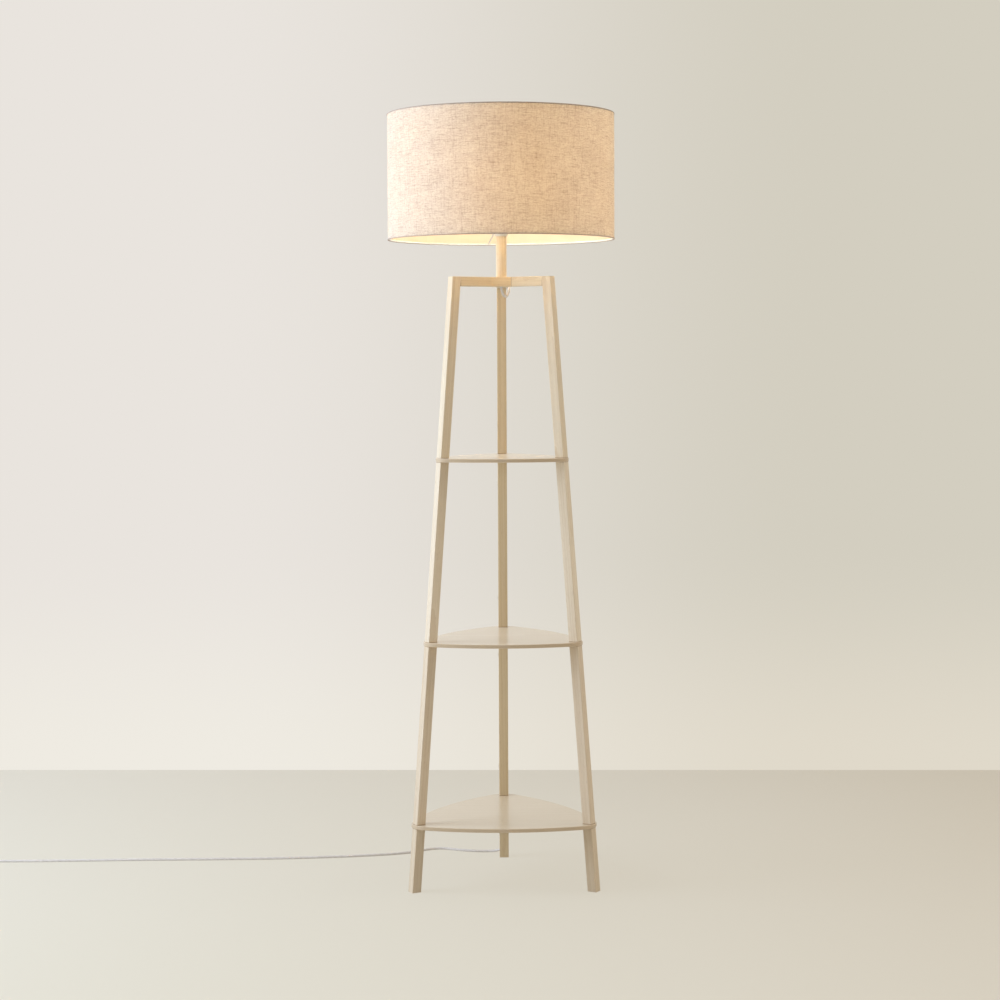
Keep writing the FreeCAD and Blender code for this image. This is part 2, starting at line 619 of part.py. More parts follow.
# ---- bulb -------------------------------------------------------------------------------------
def bulb_outline(wall):
    """(radius, height) corners of the glass from the neck to the crown, moved in by a wall."""
    neck = BULB_CAP_DIAMETER / 2 + BULB_GLASS_WALL - wall
    ball = BULB_DIAMETER / 2 - wall
    centre = BULB_TIP + BULB_LENGTH - BULB_DIAMETER / 2
    low = BULB_TIP + BULB_CAP_LENGTH
    shoulder = math.radians(BULB_SHOULDER)
    join = (ball * math.cos(shoulder), centre - ball * math.sin(shoulder))
    bend = (neck, join[1] - (join[0] - neck) / math.tan(shoulder))
    flare = (neck, (low + bend[1]) / 2)
    corners = [(neck, low)]
    for step in range(BULB_NECK_STEPS):
        share = step / BULB_NECK_STEPS
        weights = ((1 - share) ** 2, 2 * share * (1 - share), share ** 2)
        pulls = (flare, bend, join)
        corners.append(tuple(sum(weight * pull[i] for weight, pull in zip(weights, pulls)) for i in (0, 1)))
    for step in range(BULB_BALL_STEPS + 1):
        turn = -shoulder + (math.pi / 2 + shoulder) * step / BULB_BALL_STEPS
        corners.append((ball * math.cos(turn), centre + ball * math.sin(turn)))
    return corners


def bulb_nodes():
    glass = revolved(bulb_outline(0.0) + bulb_outline(BULB_GLASS_WALL)[::-1])
    radius = BULB_CAP_DIAMETER / 2
    low = BULB_TIP
    top = BULB_TIP + BULB_CAP_LENGTH
    cap = revolved([(0, low), (4.0, low), (4.6, low + 1.2), (radius - 3.0, low + 3.0), (radius, low + 4.5),
                    (radius, top), (0, top)])
    return {"bulb_glass": glass, "bulb_cap": cap}


# ---- shade ------------------------------------------------------------------------------------
def wire_ring(z):
    """A ring of round wire inside the liner, its wire's middle at a height."""
    corners = []
    for step in range(WIRE_SIDES):
        turn = 2 * math.pi * step / WIRE_SIDES
        corners.append((RING_RADIUS + RING_WIRE / 2 * math.cos(turn), z + RING_WIRE / 2 * math.sin(turn)))
    return revolved(corners)


def shade_nodes():
    outer = SHADE_DIAMETER / 2
    between = outer - CLOTH_THICKNESS
    trim = 0.8
    inset = RING_INSET + RING_WIRE / 2
    frame = wire_ring(SHADE_BOTTOM + inset)
    fitter_middle = FITTER_UNDERSIDE + FITTER_THICKNESS / 2
    for azimuth in SPOKE_AZIMUTHS:
        inner_end = polar(FITTER_DIAMETER / 2 - 1.0, azimuth, fitter_middle)
        outer_end = polar(RING_RADIUS, azimuth, SHADE_BOTTOM + inset)
        frame = frame.fuse(prism(SPOKE_WIRE, WIRE_SIDES, inner_end, outer_end))
    frame = frame.fuse(sleeve(FITTER_DIAMETER / 2, FITTER_BORE / 2, FITTER_UNDERSIDE,
                              FITTER_UNDERSIDE + FITTER_THICKNESS))
    return {"shade_cloth": sleeve(outer, between, SHADE_BOTTOM, SHADE_TOP),
            "shade_liner": sleeve(between, LINER_INSIDE, SHADE_BOTTOM + trim, SHADE_TOP - trim),
            "shade_top_ring": wire_ring(SHADE_TOP - inset), "shade_frame": frame}


# ---- mains lead -------------------------------------------------------------------------------
CORD_FLOOR = CORD_RADIUS
LEG_LINE_TOP = FRAME_HEIGHT - 57.5
LEG_LINE_END = LOWEST_CLIP - CLIP_LENGTH / 2
LEG_TOP = leg_outer(FRAME_HEIGHT)                   # axis to a leg's outer face, at its top
ARM_SIDE = ARM_SECTION / 2 + CORD_CLEARANCE + CORD_RADIUS


def by_arm(x, y, rise):
    """A point of the lead's route near the arms, its height taken from their underside."""
    return Vector(x, y, ARM_UNDERSIDE + rise)


# From the lampholder down the stem, out under the hub in a small loop, along the rear arm's side
# and round to the back of the rear leg.
HELD_ROUTE = [Vector(0, 0, CORD_TOP), by_arm(0, 0, -10.5), by_arm(9, 18, -21.5), by_arm(15, 38, -10.5),
              by_arm(14.5, 52, 6.5), by_arm(ARM_SIDE, 68, 10.5), by_arm(ARM_SIDE, LEG_TOP - 17, 10.5),
              by_arm(14.5, LEG_TOP - 1, 11), by_arm(10.5, LEG_TOP + 12, 3.5), by_arm(2.5, LEG_TOP + 14.5, -9.5),
              by_arm(0, LEG_TOP + 8.5, -25), cord_line(LEG_LINE_TOP), cord_line(LEG_LINE_END)]

# From the lowest clip to the floor and away to the left, behind the left leg.
FLOOR_ROUTE = [cord_line(LEG_LINE_END), cord_line(29.5), Vector(-3.5, 221.5, 13.5), Vector(-14, 235.5, 5),
               Vector(-34, 243, CORD_FLOOR), Vector(-56, 244.5, CORD_FLOOR), Vector(-78, 250, CORD_FLOOR),
               Vector(-101, 259, CORD_FLOOR), Vector(-122, 270.5, CORD_FLOOR), Vector(-143, 272.5, CORD_FLOOR),
               Vector(-162, 264, CORD_FLOOR), Vector(-180, 248, CORD_FLOOR), Vector(-200, 234, CORD_FLOOR),
               Vector(-226, 223.5, CORD_FLOOR), Vector(-262, 213.5, CORD_FLOOR),
               Vector(-306, 204.5, CORD_FLOOR), Vector(-362, 196, CORD_FLOOR), Vector(-428, 188.5, CORD_FLOOR),
               Vector(-499, 184, CORD_FLOOR), Vector(-572, 181.8, CORD_FLOOR), Vector(-645, 180.2, CORD_FLOOR),
               Vector(-718, 179, CORD_FLOOR), Vector(-790, 177.4, CORD_FLOOR), Vector(-862, 175.2, CORD_FLOOR),
               Vector(-932, 172.6, CORD_FLOOR), Vector(-998, 171, CORD_FLOOR), Vector(-1045, 171.3, CORD_FLOOR)]


def swept_route(label, points, diameter):
    """A tube along straight runs joined by tangent arcs, each as large as its two runs allow."""
    edges = []
    here = points[0]
    tightest = None
    for index in range(1, len(points) - 1):
        before = points[index - 1]
        corner = points[index]
        after = points[index + 1]
        arriving = (corner - before).normalize()
        leaving = (after - corner).normalize()
        half_turn = arriving.getAngle(leaving) / 2
        setback = 0.45 * min((corner - before).Length, (after - corner).Length)
        radius = setback / math.tan(half_turn)
        start = corner - arriving * setback
        end = corner + leaving * setback
        bisector = (leaving - arriving).normalize()
        centre = corner + bisector * (radius / math.cos(half_turn))
        middle = centre - bisector * radius
        edges.append(Part.LineSegment(here, start).toShape())
        edges.append(Part.Arc(start, middle, end).toShape())
        here = end
        if tightest is None or radius < tightest:
            tightest = radius
        print(label, index, "turn", round(math.degrees(2 * half_turn), 1), "radius", round(radius, 1))
    edges.append(Part.LineSegment(here, points[-1]).toShape())
    path = Part.Wire(edges)
    ring = ring_of_corners(diameter, CORD_SIDES, points[0], points[1] - points[0])
    tube = path.makePipeShell([ring], True, True)
    expected = Part.Face(ring).Area * path.Length
    print(label, "length", round(path.Length, 1), "tightest radius", round(tightest, 1),
          "volume ratio", round(tube.Volume / expected, 4), "valid", tube.isValid())
    return tube


def clip_shapes():
    """A saddle clip, its nail and the nail's pilot hole, for a lead that runs along +Z at x = 0.

    The clip is nailed to a face at negative x.
    """
    face = -(CORD_RADIUS + CORD_CLEARANCE)
    inner = CORD_RADIUS + CLIP_BORE_CLEARANCE
    outer = inner + CLIP_WALL
    half = CLIP_LENGTH / 2
    head = face + CLIP_WALL * 1.5
    flats = math.cos(math.pi / CORD_SIDES)
    saddle = prism(2 * outer / flats, CORD_SIDES, Vector(0, 0, -half), Vector(0, 0, half))
    saddle = saddle.fuse(box_between((face, -outer, -half), (0, outer, half)))
    saddle = saddle.fuse(box_between((face, 0, -half), (head, outer + CLIP_LUG, half)))
    saddle = saddle.common(box_between((face, -outer, -half), (outer, outer + CLIP_LUG, half)))
    channel = prism(2 * inner / flats, CORD_SIDES, Vector(0, 0, -half - 1), Vector(0, 0, half + 1))
    channel = channel.fuse(box_between((face - 1, -inner, -half - 1), (0, inner, half + 1)))
    nail_y = outer + CLIP_LUG / 2
    tip = Vector(face - NAIL_LENGTH, nail_y, 0)
    seat = Vector(head, nail_y, 0)
    pilot = prism(NAIL_DIAMETER + 2 * NAIL_CLEARANCE, NAIL_SIDES, tip, seat + Vector(1, 0, 0))
    body = saddle.cut(channel).cut(pilot).removeSplitter()
    nail = prism(NAIL_DIAMETER, NAIL_SIDES, tip, seat)
    nail = nail.fuse(prism(2 * NAIL_DIAMETER, NAIL_SIDES, seat, seat + Vector(NAIL_HEAD_THICKNESS, 0, 0)))
    return body, nail.removeSplitter(), pilot


def clip_heights():
    """Heights of the clips on the rear leg: near the floor, on each side of a shelf, and near the top."""
    heights = [LOWEST_CLIP, SHELF_TOPS["bottom"] + CLIP_TO_SHELF, FRAME_HEIGHT - HIGHEST_CLIP_DROP]
    for shelf_name in ("middle", "top"):
        heights += [SHELF_TOPS[shelf_name] - CLIP_TO_SHELF, SHELF_TOPS[shelf_name] + CLIP_TO_SHELF]
    return heights


def clips_placed(shape):
    """Copies of a shape at each clip down the back of the rear leg and at the rear arm's side."""
    copies = []
    for z in clip_heights():
        copy = shape.copy()
        copy.rotate(Vector(0, 0, 0), Vector(0, 1, 0), -LEG_SPLAY)
        copy.translate(Vector(leg_outer(z) + (CORD_CLEARANCE + CORD_RADIUS) / math.cos(SPLAY), 0, z))
        copies.append(turned(copy, LEG_AZIMUTHS["rear"]))
    copy = shape.copy()
    copy.rotate(Vector(0, 0, 0), Vector(1, 0, 0), -90)
    copy.translate(Vector(ARM_SIDE, arm_end() - ARM_CLIP_INSET, HELD_ROUTE[5].z))
    return copies + [copy]


def clip_nodes(nodes):
    """The clips and nails, and the nails' pilot holes in the wood that is already there."""
    body, nail, pilot = clip_shapes()
    nodes["lead_clips"] = Part.makeCompound(clips_placed(body))
    nodes["clip_nails"] = Part.makeCompound(clips_placed(nail))
    pilots = Part.makeCompound(clips_placed(pilot))
    for name in [f"leg_rear_{length}" for length in ("foot", "lower", "middle", "upper")] + ["arm_rear"]:
        nodes[name] = nodes[name].cut(pilots)


def coil_outside():
    return COIL_MID_RADIUS + COIL_COLUMNS * CORD_RADIUS


def coil_entry():
    """How far along its entering lead the coil stands clear of it."""
    outside = coil_outside()
    return math.sqrt(outside ** 2 - (outside - CORD_DIAMETER) ** 2) + 1.0


def coil_nodes():
    """The put-away length as one ring, its tie, and the short leads at its two ends."""
    centre = Vector(COIL_CENTRE[0], COIL_CENTRE[1], 0)
    height = COIL_LAYERS * CORD_DIAMETER
    low = COIL_MID_RADIUS - COIL_COLUMNS * CORD_RADIUS
    high = coil_outside()
    bevel = CORD_RADIUS * 0.6
    ring = revolved([(low + bevel, 0), (high - bevel, 0), (high, bevel), (high, height - bevel),
                     (high - bevel, height), (low + bevel, height), (low, height - bevel), (low, bevel)])
    turn = high - CORD_RADIUS
    ring = ring.fuse(prism(CORD_DIAMETER, CORD_SIDES, Vector(0, turn, CORD_RADIUS),
                           Vector(coil_entry(), turn, CORD_RADIUS)))
    lead_z = height - CORD_RADIUS
    lead_end = Vector(-turn, -COIL_LEAD, lead_z)
    ring = ring.fuse(prism(CORD_DIAMETER, CORD_SIDES, Vector(-turn, 0, lead_z), lead_end))
    slack = 0.2
    outside = box_between((low - slack - TIE_THICKNESS, -TIE_WIDTH / 2, 0),
                          (high + slack + TIE_THICKNESS, TIE_WIDTH / 2, height + TIE_THICKNESS))
    inside = box_between((low - slack, -TIE_WIDTH, TIE_THICKNESS), (high + slack, TIE_WIDTH, height))
    tie = outside.cut(inside)
    ring = ring.cut(tie)
    nodes = {"lead_coil": ring, "coil_tie": tie}
    nodes.update(plug_nodes(lead_end))
    for shape in nodes.values():
        shape.translate(centre)
    return nodes


def plug_nodes(lead_end):
    """A two-blade moulded plug with a tapered strain relief, lying beside the coil, facing -Y."""
    z = PLUG_HEIGHT / 2
    relief_end = lead_end + Vector(0, -PLUG_RELIEF_LENGTH, 0)
    relief = Part.makeCone(CORD_RADIUS + PLUG_RELIEF_THIN, CORD_RADIUS + PLUG_RELIEF_THICK, PLUG_RELIEF_LENGTH,
                           lead_end, Vector(0, -1, 0))
    x = lead_end.x
    back = relief_end.y + 1.0
    front = back - PLUG_LENGTH
    half = PLUG_WIDTH / 2
    shoulder = half * 0.62
    corners = [Vector(x - shoulder, back, 0), Vector(x - half, back - PLUG_LENGTH * 0.45, 0),
               Vector(x - half, front, 0), Vector(x + half, front, 0),
               Vector(x + half, back - PLUG_LENGTH * 0.45, 0), Vector(x + shoulder, back, 0)]
    body = Part.Face(Part.makePolygon(corners + corners[:1])).extrude(UP * PLUG_HEIGHT)
    body = body.makeChamfer(PLUG_BEVEL, body.Edges)
    body = body.fuse(relief).removeSplitter()
    blades = []
    for side in (-1, 1):
        middle = x + side * BLADE_SPACING / 2
        blades.append(box_between((middle - BLADE_THICKNESS / 2, front - BLADE_LENGTH, z - BLADE_WIDTH / 2),
                                  (middle + BLADE_THICKNESS / 2, front, z + BLADE_WIDTH / 2)))
    return {"plug_body": body, "plug_blades": Part.makeCompound(blades)}


def lead_nodes():
    meeting = Vector(COIL_CENTRE[0] + coil_entry(), COIL_CENTRE[1] + coil_outside() - CORD_RADIUS, CORD_FLOOR)
    nodes = {"lead_held": swept_route("held", HELD_ROUTE, CORD_DIAMETER),
             "lead_floor": swept_route("floor", FLOOR_ROUTE + [meeting], CORD_DIAMETER)}
    nodes.update(coil_nodes())
    return nodes


# ---- the whole lamp ---------------------------------------------------------------------------
def build():
    nodes = {}
    nodes.update(leg_nodes())
    for name in SHELF_TOPS:
        nodes[f"shelf_{name}"] = shelf(name)
    nodes.update(top_frame_nodes())
    nodes.update(stem_nodes())
    nodes.update(lampholder_nodes())
    nodes.update(bulb_nodes())
    nodes.update(shade_nodes())
    nodes.update(lead_nodes())
    clip_nodes(nodes)
    return nodes


os.makedirs("parts", exist_ok=True)
for node_name, node_shape in build().items():
    node_shape.exportStep(f"parts/{node_name}.step")
    print(node_name, "solids", len(node_shape.Solids), "valid", node_shape.isValid())
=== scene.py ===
"""Shelf floor lamp, dressed: satin pale wood, a lit linen drum shade, its lampholder and the mains lead.

Metres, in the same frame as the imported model: +Z up, origin on the floor on the lamp's axis, the rear
leg at +Y and the camera at -Y.
"""
import bpy, bmesh
import math
from mathutils import Matrix, Vector


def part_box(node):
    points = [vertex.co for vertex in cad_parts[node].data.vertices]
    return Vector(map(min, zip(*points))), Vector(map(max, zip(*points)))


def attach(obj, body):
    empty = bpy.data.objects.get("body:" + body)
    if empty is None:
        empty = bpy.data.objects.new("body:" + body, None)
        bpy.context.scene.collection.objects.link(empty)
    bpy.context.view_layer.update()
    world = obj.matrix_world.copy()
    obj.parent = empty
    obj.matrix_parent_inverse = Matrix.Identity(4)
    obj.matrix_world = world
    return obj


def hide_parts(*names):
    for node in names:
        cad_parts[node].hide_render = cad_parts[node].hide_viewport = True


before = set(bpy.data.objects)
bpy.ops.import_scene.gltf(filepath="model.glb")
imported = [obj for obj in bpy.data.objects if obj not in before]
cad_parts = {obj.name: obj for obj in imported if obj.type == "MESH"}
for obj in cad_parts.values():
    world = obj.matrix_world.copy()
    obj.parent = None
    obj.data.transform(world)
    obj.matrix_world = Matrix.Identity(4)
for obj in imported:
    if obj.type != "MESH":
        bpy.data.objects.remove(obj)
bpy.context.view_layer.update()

MM = 0.001
BODY = "lamp"
KEY_BODY = "switch_key"

# ---- sizes read from the frame ----
shade_low, shade_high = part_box("shade_cloth")
liner_low, liner_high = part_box("shade_liner")
ring_low, ring_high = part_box("shade_top_ring")
shade_frame_low, shade_frame_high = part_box("shade_frame")
stem_low, stem_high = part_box("stem")
cap_low, cap_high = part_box("holder_cap")
body_low, body_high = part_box("holder_body")
nut_low, nut_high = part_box("shade_nut")
glass_low, glass_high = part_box("bulb_glass")
bulb_cap_low, bulb_cap_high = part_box("bulb_cap")
screw_low, screw_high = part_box("screw_shell")
knob_low, knob_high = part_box("switch_knob")
hub_low, hub_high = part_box("hub_block")
arm_low, arm_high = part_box("arm_rear")
foot_low, foot_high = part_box("leg_rear_foot")
upper_low, upper_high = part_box("leg_rear_upper")
plug_low, plug_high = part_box("plug_body")
tie_low, tie_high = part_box("coil_tie")
shelf_boxes = {name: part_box("shelf_" + name) for name in ("bottom", "middle", "top")}

LEG_AZIMUTHS = {"left": 210.0, "right": 330.0, "rear": 90.0}
FRAME_TOP = hub_high.z
ARM_UNDERSIDE = hub_low.z
LEG_FOOT_REACH = foot_high.y
LEG_SPLAY = math.atan2(foot_high.y - upper_high.y, upper_low.z - foot_low.z)
LEG_SECTION = arm_high.x - arm_low.x
SHADE_RADIUS = shade_high.x
SHADE_BOTTOM = shade_low.z
SHADE_TOP = shade_high.z

# ---- the photograph's camera ----
IMAGE_SIZE = 1000.0
CAMERA_PLACE = (-0.00106, -4.42402, 1.05267)
CAMERA_DOWN = 0.042641
CAMERA_ROLL = 0.00499
CAMERA_SHIFT = (-0.00117, -0.05)
FOCAL_PIXELS = 2220.05
SENSOR_WIDTH = 36.0


def new_object(name, data):
    thing = bpy.data.objects.new(name, data)
    bpy.context.scene.collection.objects.link(thing)
    return thing


def add_camera():
    data = bpy.data.cameras.new("camera")
    data.sensor_fit = "HORIZONTAL"
    data.sensor_width = SENSOR_WIDTH
    data.lens = SENSOR_WIDTH * FOCAL_PIXELS / IMAGE_SIZE
    data.shift_x, data.shift_y = CAMERA_SHIFT
    data.clip_end = 50.0
    camera = new_object("camera", data)
    camera.location = CAMERA_PLACE
    camera.rotation_euler = (math.radians(90) - CAMERA_DOWN, CAMERA_ROLL, 0.0)
    bpy.context.scene.camera = camera


# ---- colours and node helpers ----
def srgb(red, green, blue):
    """A linear colour from 8-bit display values."""
    def linear(value):
        value /= 255
        return value / 12.92 if value <= 0.04045 else ((value + 0.055) / 1.055) ** 2.4
    return (linear(red), linear(green), linear(blue), 1.0)


def new_material(name):
    material = bpy.data.materials.new(name)
    material.use_nodes = True
    return material, material.node_tree, material.node_tree.nodes["Principled BSDF"]


def fill(tree, node, values):
    """Sets or links a node's inputs."""
    for key, value in values.items():
        if isinstance(value, bpy.types.NodeSocket):
            tree.links.new(value, node.inputs[key])
        else:
            node.inputs[key].default_value = value


def add(tree, kind, values=None, **settings):
    """A shader node with its settings, and its inputs set or linked."""
    node = tree.nodes.new("ShaderNode" + kind)
    for key, value in settings.items():
        setattr(node, key, value)
    fill(tree, node, values or {})
    return node


def arithmetic(tree, operation, first, second=0.0, third=0.0):
    return add(tree, "Math", {0: first, 1: second, 2: third}, operation=operation).outputs[0]


def blend_colours(tree, factor, first, second, blend="MIX"):
    node = add(tree, "Mix", {0: factor, 6: first, 7: second}, data_type="RGBA", blend_type=blend)
    return node.outputs[2]


def remap(tree, value, low, high, to_low=0.0, to_high=1.0, smooth=False):
    kind = "SMOOTHSTEP" if smooth else "LINEAR"
    node = add(tree, "MapRange", {0: value, 1: low, 2: high, 3: to_low, 4: to_high}, interpolation_type=kind)
    return node.outputs[0]


def noise(tree, vector, scale, detail=2.0, roughness=0.5, seed=0.0):
    node = add(tree, "TexNoise", {"Vector": vector, "W": seed, "Scale": scale, "Detail": detail,
                                  "Roughness": roughness}, noise_dimensions="4D")
    return node.outputs[0]


def object_coordinates(tree):
    return add(tree, "TexCoord").outputs["Object"]


def scaled(tree, vector, factors):
    return add(tree, "VectorMath", {0: vector, 1: factors}, operation="MULTIPLY").outputs[0]


def bump(tree, height, distance, strength=1.0):
    return add(tree, "Bump", {"Height": height, "Distance": distance, "Strength": strength}).outputs[0]


# ---- wood ----
WOOD_PALE = srgb(230, 215, 189)
WOOD_DARK = srgb(209, 187, 154)
WOOD_PORE = srgb(170, 141, 104)
END_TONE = srgb(202, 180, 150)
# Each board's tint, as shares of the colours above; most of these are painted light or painted shade, not the
# wood's own tone.
PLAIN_BOARD = (1.0, 1.0, 1.0)
# Painted shade: the rear leg darker and more golden, for the lower light on its front face.
REAR_LEG_PAINTED_SHADE = (0.87, 0.82, 0.70)
# Painted light and shade on the legs: the foot and lower boards darker, as the light falls off towards the
# floor; the middle boards lighter, to offset the shelf's shadow.
LEG_PAINTED_LIGHT_AND_SHADE = {"foot": (0.90, 0.88, 0.87), "lower": (0.95, 0.93, 0.94), "middle": (1.04, 1.05, 1.09),
              "upper": PLAIN_BOARD}
# Painted light: the arms a little warmer, for the glow that falls on them from the lit shade.
ARM_PAINTED_GLOW = (0.98, 0.97, 0.92)
# Painted light: the hub lighter and warmer, so that its shaded front reads as bright as the left arm.
HUB_PAINTED_LIGHT = (1.10, 1.07, 0.98)
# Painted light: the stem lighter, for the light on it from the key and the lit shade.
STEM_PAINTED_LIGHT = (1.10, 1.13, 1.15)
# Painted light: the higher shelves lighter, and the top shelf bluer as a painted reflection of the pale
# surroundings.
SHELF_PAINTED_LIGHT = {"bottom": (0.96, 0.96, 0.96), "middle": (1.13, 1.14, 1.18), "top": (1.24, 1.31, 1.43)}

# How often the wood's marks change per metre: across the grain both ways, and along it.
STREAKS = (150.0, 150.0, 1.6)
FIBRES = (1500.0, 1500.0, 26.0)
FLECKS = (1150.0, 1150.0, 95.0)


def tinted(colour, tint):
    return tuple(min(1.0, channel * share) for channel, share in zip(colour[:3], tint)) + (1.0,)


def wood(name, location, rotation, seed, contact_shadow_heights=(), ends=(), edge=None, tint=PLAIN_BOARD):
    """Straight-grained satin wood, its grain along local Z of a frame.

    A thin dark line of painted contact shadow falls at each height of the first list, and at ends, the places
    along the grain that have one. With edge, faces that don't look up or down take that colour, as a shelf's
    edge band does. tint is the board's share of the colours, which on most boards is painted light or painted
    shade.
    """
    pale, dark = tinted(WOOD_PALE, tint), tinted(WOOD_DARK, tint)
    material, tree, shader = new_material(name)
    place = object_coordinates(tree)
    grain = add(tree, "Mapping", {"Vector": place, "Location": location, "Rotation": rotation},
                vector_type="TEXTURE").outputs[0]
    streaks = noise(tree, scaled(tree, grain, STREAKS), 1.0, 3.0, 0.55, seed)
    fibres = noise(tree, scaled(tree, grain, FIBRES), 1.0, 2.0, 0.6, seed)
    flecks = noise(tree, scaled(tree, grain, FLECKS), 1.0, 1.0, 0.5, seed + 3.1)
    heart = (0.043 + 0.011 * math.sin(seed), 0.031, seed * 0.2)
    tilt = (0.012, 0.009, seed)
    tilted = add(tree, "Mapping", {"Vector": grain, "Location": heart, "Rotation": tilt}).outputs[0]
    rings = add(tree, "TexWave", {"Vector": tilted, "Scale": 62.0, "Distortion": 2.4, "Detail": 2.0,
                                  "Detail Scale": 0.35, "Detail Roughness": 0.5},
                wave_type="RINGS", rings_direction="Z", wave_profile="SAW").outputs["Fac"]
    broad = remap(tree, streaks, 0.32, 0.68)
    pores = remap(tree, flecks, 0.63, 0.72)
    tone = arithmetic(tree, "MULTIPLY_ADD", rings, 0.34, arithmetic(tree, "MULTIPLY", broad, 0.42))
    fine = remap(tree, fibres, 0.3, 0.7)
    tone = arithmetic(tree, "MULTIPLY_ADD", fine, 0.24, tone)
    colour = blend_colours(tree, tone, pale, dark)
    colour = blend_colours(tree, arithmetic(tree, "MULTIPLY", pores, 0.34), colour, WOOD_PORE)
    if edge is not None:
        normal = add(tree, "NewGeometry").outputs["Normal"]
        upright = add(tree, "SeparateXYZ", {0: normal}).outputs["Z"]
        side = remap(tree, arithmetic(tree, "ABSOLUTE", upright), 0.55, 0.8, 1.0, 0.0)
        banded = blend_colours(tree, arithmetic(tree, "MULTIPLY", fine, 0.25), edge, WOOD_PORE)
        colour = blend_colours(tree, side, colour, banded)
    height = add(tree, "SeparateXYZ", {0: place}).outputs["Z"]
    along = add(tree, "SeparateXYZ", {0: grain}).outputs["Z"]
    # Painted contact shadow: a thin dark line where a board meets a shelf, and at an arm's ends.
    for measure, joint in [(height, joint) for joint in contact_shadow_heights] + [(along, end) for end in ends]:
        away = arithmetic(tree, "ABSOLUTE", arithmetic(tree, "SUBTRACT", measure, joint))
        shadow = remap(tree, away, 0.3 * MM, 1.5 * MM, 0.85, 0.0, smooth=True)
        colour = blend_colours(tree, shadow, colour, WOOD_PORE, "MULTIPLY")
    relief = arithmetic(tree, "MULTIPLY_ADD", pores, -0.8, arithmetic(tree, "MULTIPLY", fibres, 0.35))
    fill(tree, shader, {"Base Color": colour, "Roughness": remap(tree, fibres, 0.3, 0.7, 0.36, 0.46),
                        "Normal": bump(tree, relief, 0.12 * MM, 0.4),
                        "Coat Weight": 0.8 if edge else 0.4, "Coat Roughness": 0.2 if edge else 0.3})
    return material


def paint_node(node, material):
    """Gives a CAD node that stays its material."""
    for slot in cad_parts[node].material_slots:
        slot.link = "OBJECT"
        slot.material = material


def polar(radius, azimuth, z):
    angle = math.radians(azimuth)
    return Vector((radius * math.cos(angle), radius * math.sin(angle), z))


def finish_wood():
    """Every wooden node: its own board, with the grain along the piece, and on most boards a tint of painted
    light or painted shade.
    """
    lengths = ("foot", "lower", "middle", "upper")
    top = Vector((0, 0, FRAME_TOP))
    # The shelves' faces: heights of painted contact shadow on the legs.
    levels = [z for low, high in shelf_boxes.values() for z in (low.z, high.z)]
    arm_ends = {"left": (arm_high.y,), "right": (arm_low.y, arm_high.y), "rear": (arm_low.y, arm_high.y)}
    for leg_index, (leg, azimuth) in enumerate(LEG_AZIMUTHS.items()):
        base = polar(LEG_FOOT_REACH - LEG_SECTION / 2, azimuth, 0.0)
        turn = (0.0, -LEG_SPLAY, math.radians(azimuth))
        for index, length in enumerate(lengths):
            seed = 1.7 * leg_index + 4.3 * index
            tint = REAR_LEG_PAINTED_SHADE if leg == "rear" else LEG_PAINTED_LIGHT_AND_SHADE[length]
            board = wood(f"wood_leg_{leg}_{length}", base, turn, seed, levels, tint=tint)
            paint_node(f"leg_{leg}_{length}", board)
        along = (0.0, math.radians(90), math.radians(azimuth))
        board = wood(f"wood_arm_{leg}", top, along, 20 + leg_index,
                     ends=arm_ends[leg], tint=ARM_PAINTED_GLOW)
        paint_node(f"arm_{leg}", board)
    across = (0.0, math.radians(90), 0.0)
    paint_node("hub_block", wood("wood_hub", top, across, 31.0, tint=HUB_PAINTED_LIGHT))
    for index, (name, (low, high)) in enumerate(shelf_boxes.items()):
        veneer = wood(f"wood_shelf_{name}", Vector((0, 0, high.z)), across, 40.0 + index, edge=END_TONE,
                      tint=SHELF_PAINTED_LIGHT[name])
        paint_node(f"shelf_{name}", veneer)
    paint_node("arm_dowels", wood("wood_dowel", top, across, 51.0))
    paint_node("bolt_caps", wood("wood_bolt_caps", top, (0, 0, 0), 53.0))
    return wood("wood_stem", top, (0, 0, 0), 57.0, tint=STEM_PAINTED_LIGHT)


# ---- metals and plastics ----
def smooth_material(name, colour, roughness, metallic=0.0, grain=0.02, coat=0.0, seed=0.0):
    """A moulded, drawn or plated finish with a little unevenness in tone, gloss and surface."""
    material, tree, shader = new_material(name)
    place = object_coordinates(tree)
    clouds = noise(tree, place, 140.0, 3.0, 0.6, seed)
    fine = noise(tree, place, 2600.0, 2.0, 0.5, seed + 1)
    darker = tuple(channel * 0.86 for channel in colour[:3]) + (1.0,)
    fill(tree, shader, {"Base Color": blend_colours(tree, remap(tree, clouds, 0.35, 0.75), colour, darker),
                        "Roughness": remap(tree, clouds, 0.3, 0.7, roughness * 0.85, roughness * 1.2),
                        "Normal": bump(tree, fine, grain * MM, 0.6),
                        "Metallic": metallic, "Coat Weight": coat})
    return material


def finish_hardware():
    zinc = smooth_material("zinc_plate", srgb(176, 176, 172), 0.32, 1.0, 0.03)
    brass = smooth_material("machined_brass", srgb(206, 172, 104), 0.26, 1.0, 0.02)
    phenolic = smooth_material("black_phenolic", srgb(38, 34, 32), 0.42, grain=0.05)
    bushing = smooth_material("bushing_plastic", srgb(236, 233, 226), 0.38)
    for node in ("leg_studs", "arm_bolts", "arm_barrel_nuts", "threaded_tube", "hub_nut", "hub_washer"):
        paint_node(node, zinc)
    for node in ("leg_inserts", "switch_bushing", "switch_shaft", "centre_contact", "plug_blades"):
        paint_node(node, brass)
    paint_node("switch_block", phenolic)
    paint_node("lead_bushing", bushing)


# ---- meshes ----
SHARP_ANGLE = math.radians(32)
WELD_DISTANCE = 1e-7


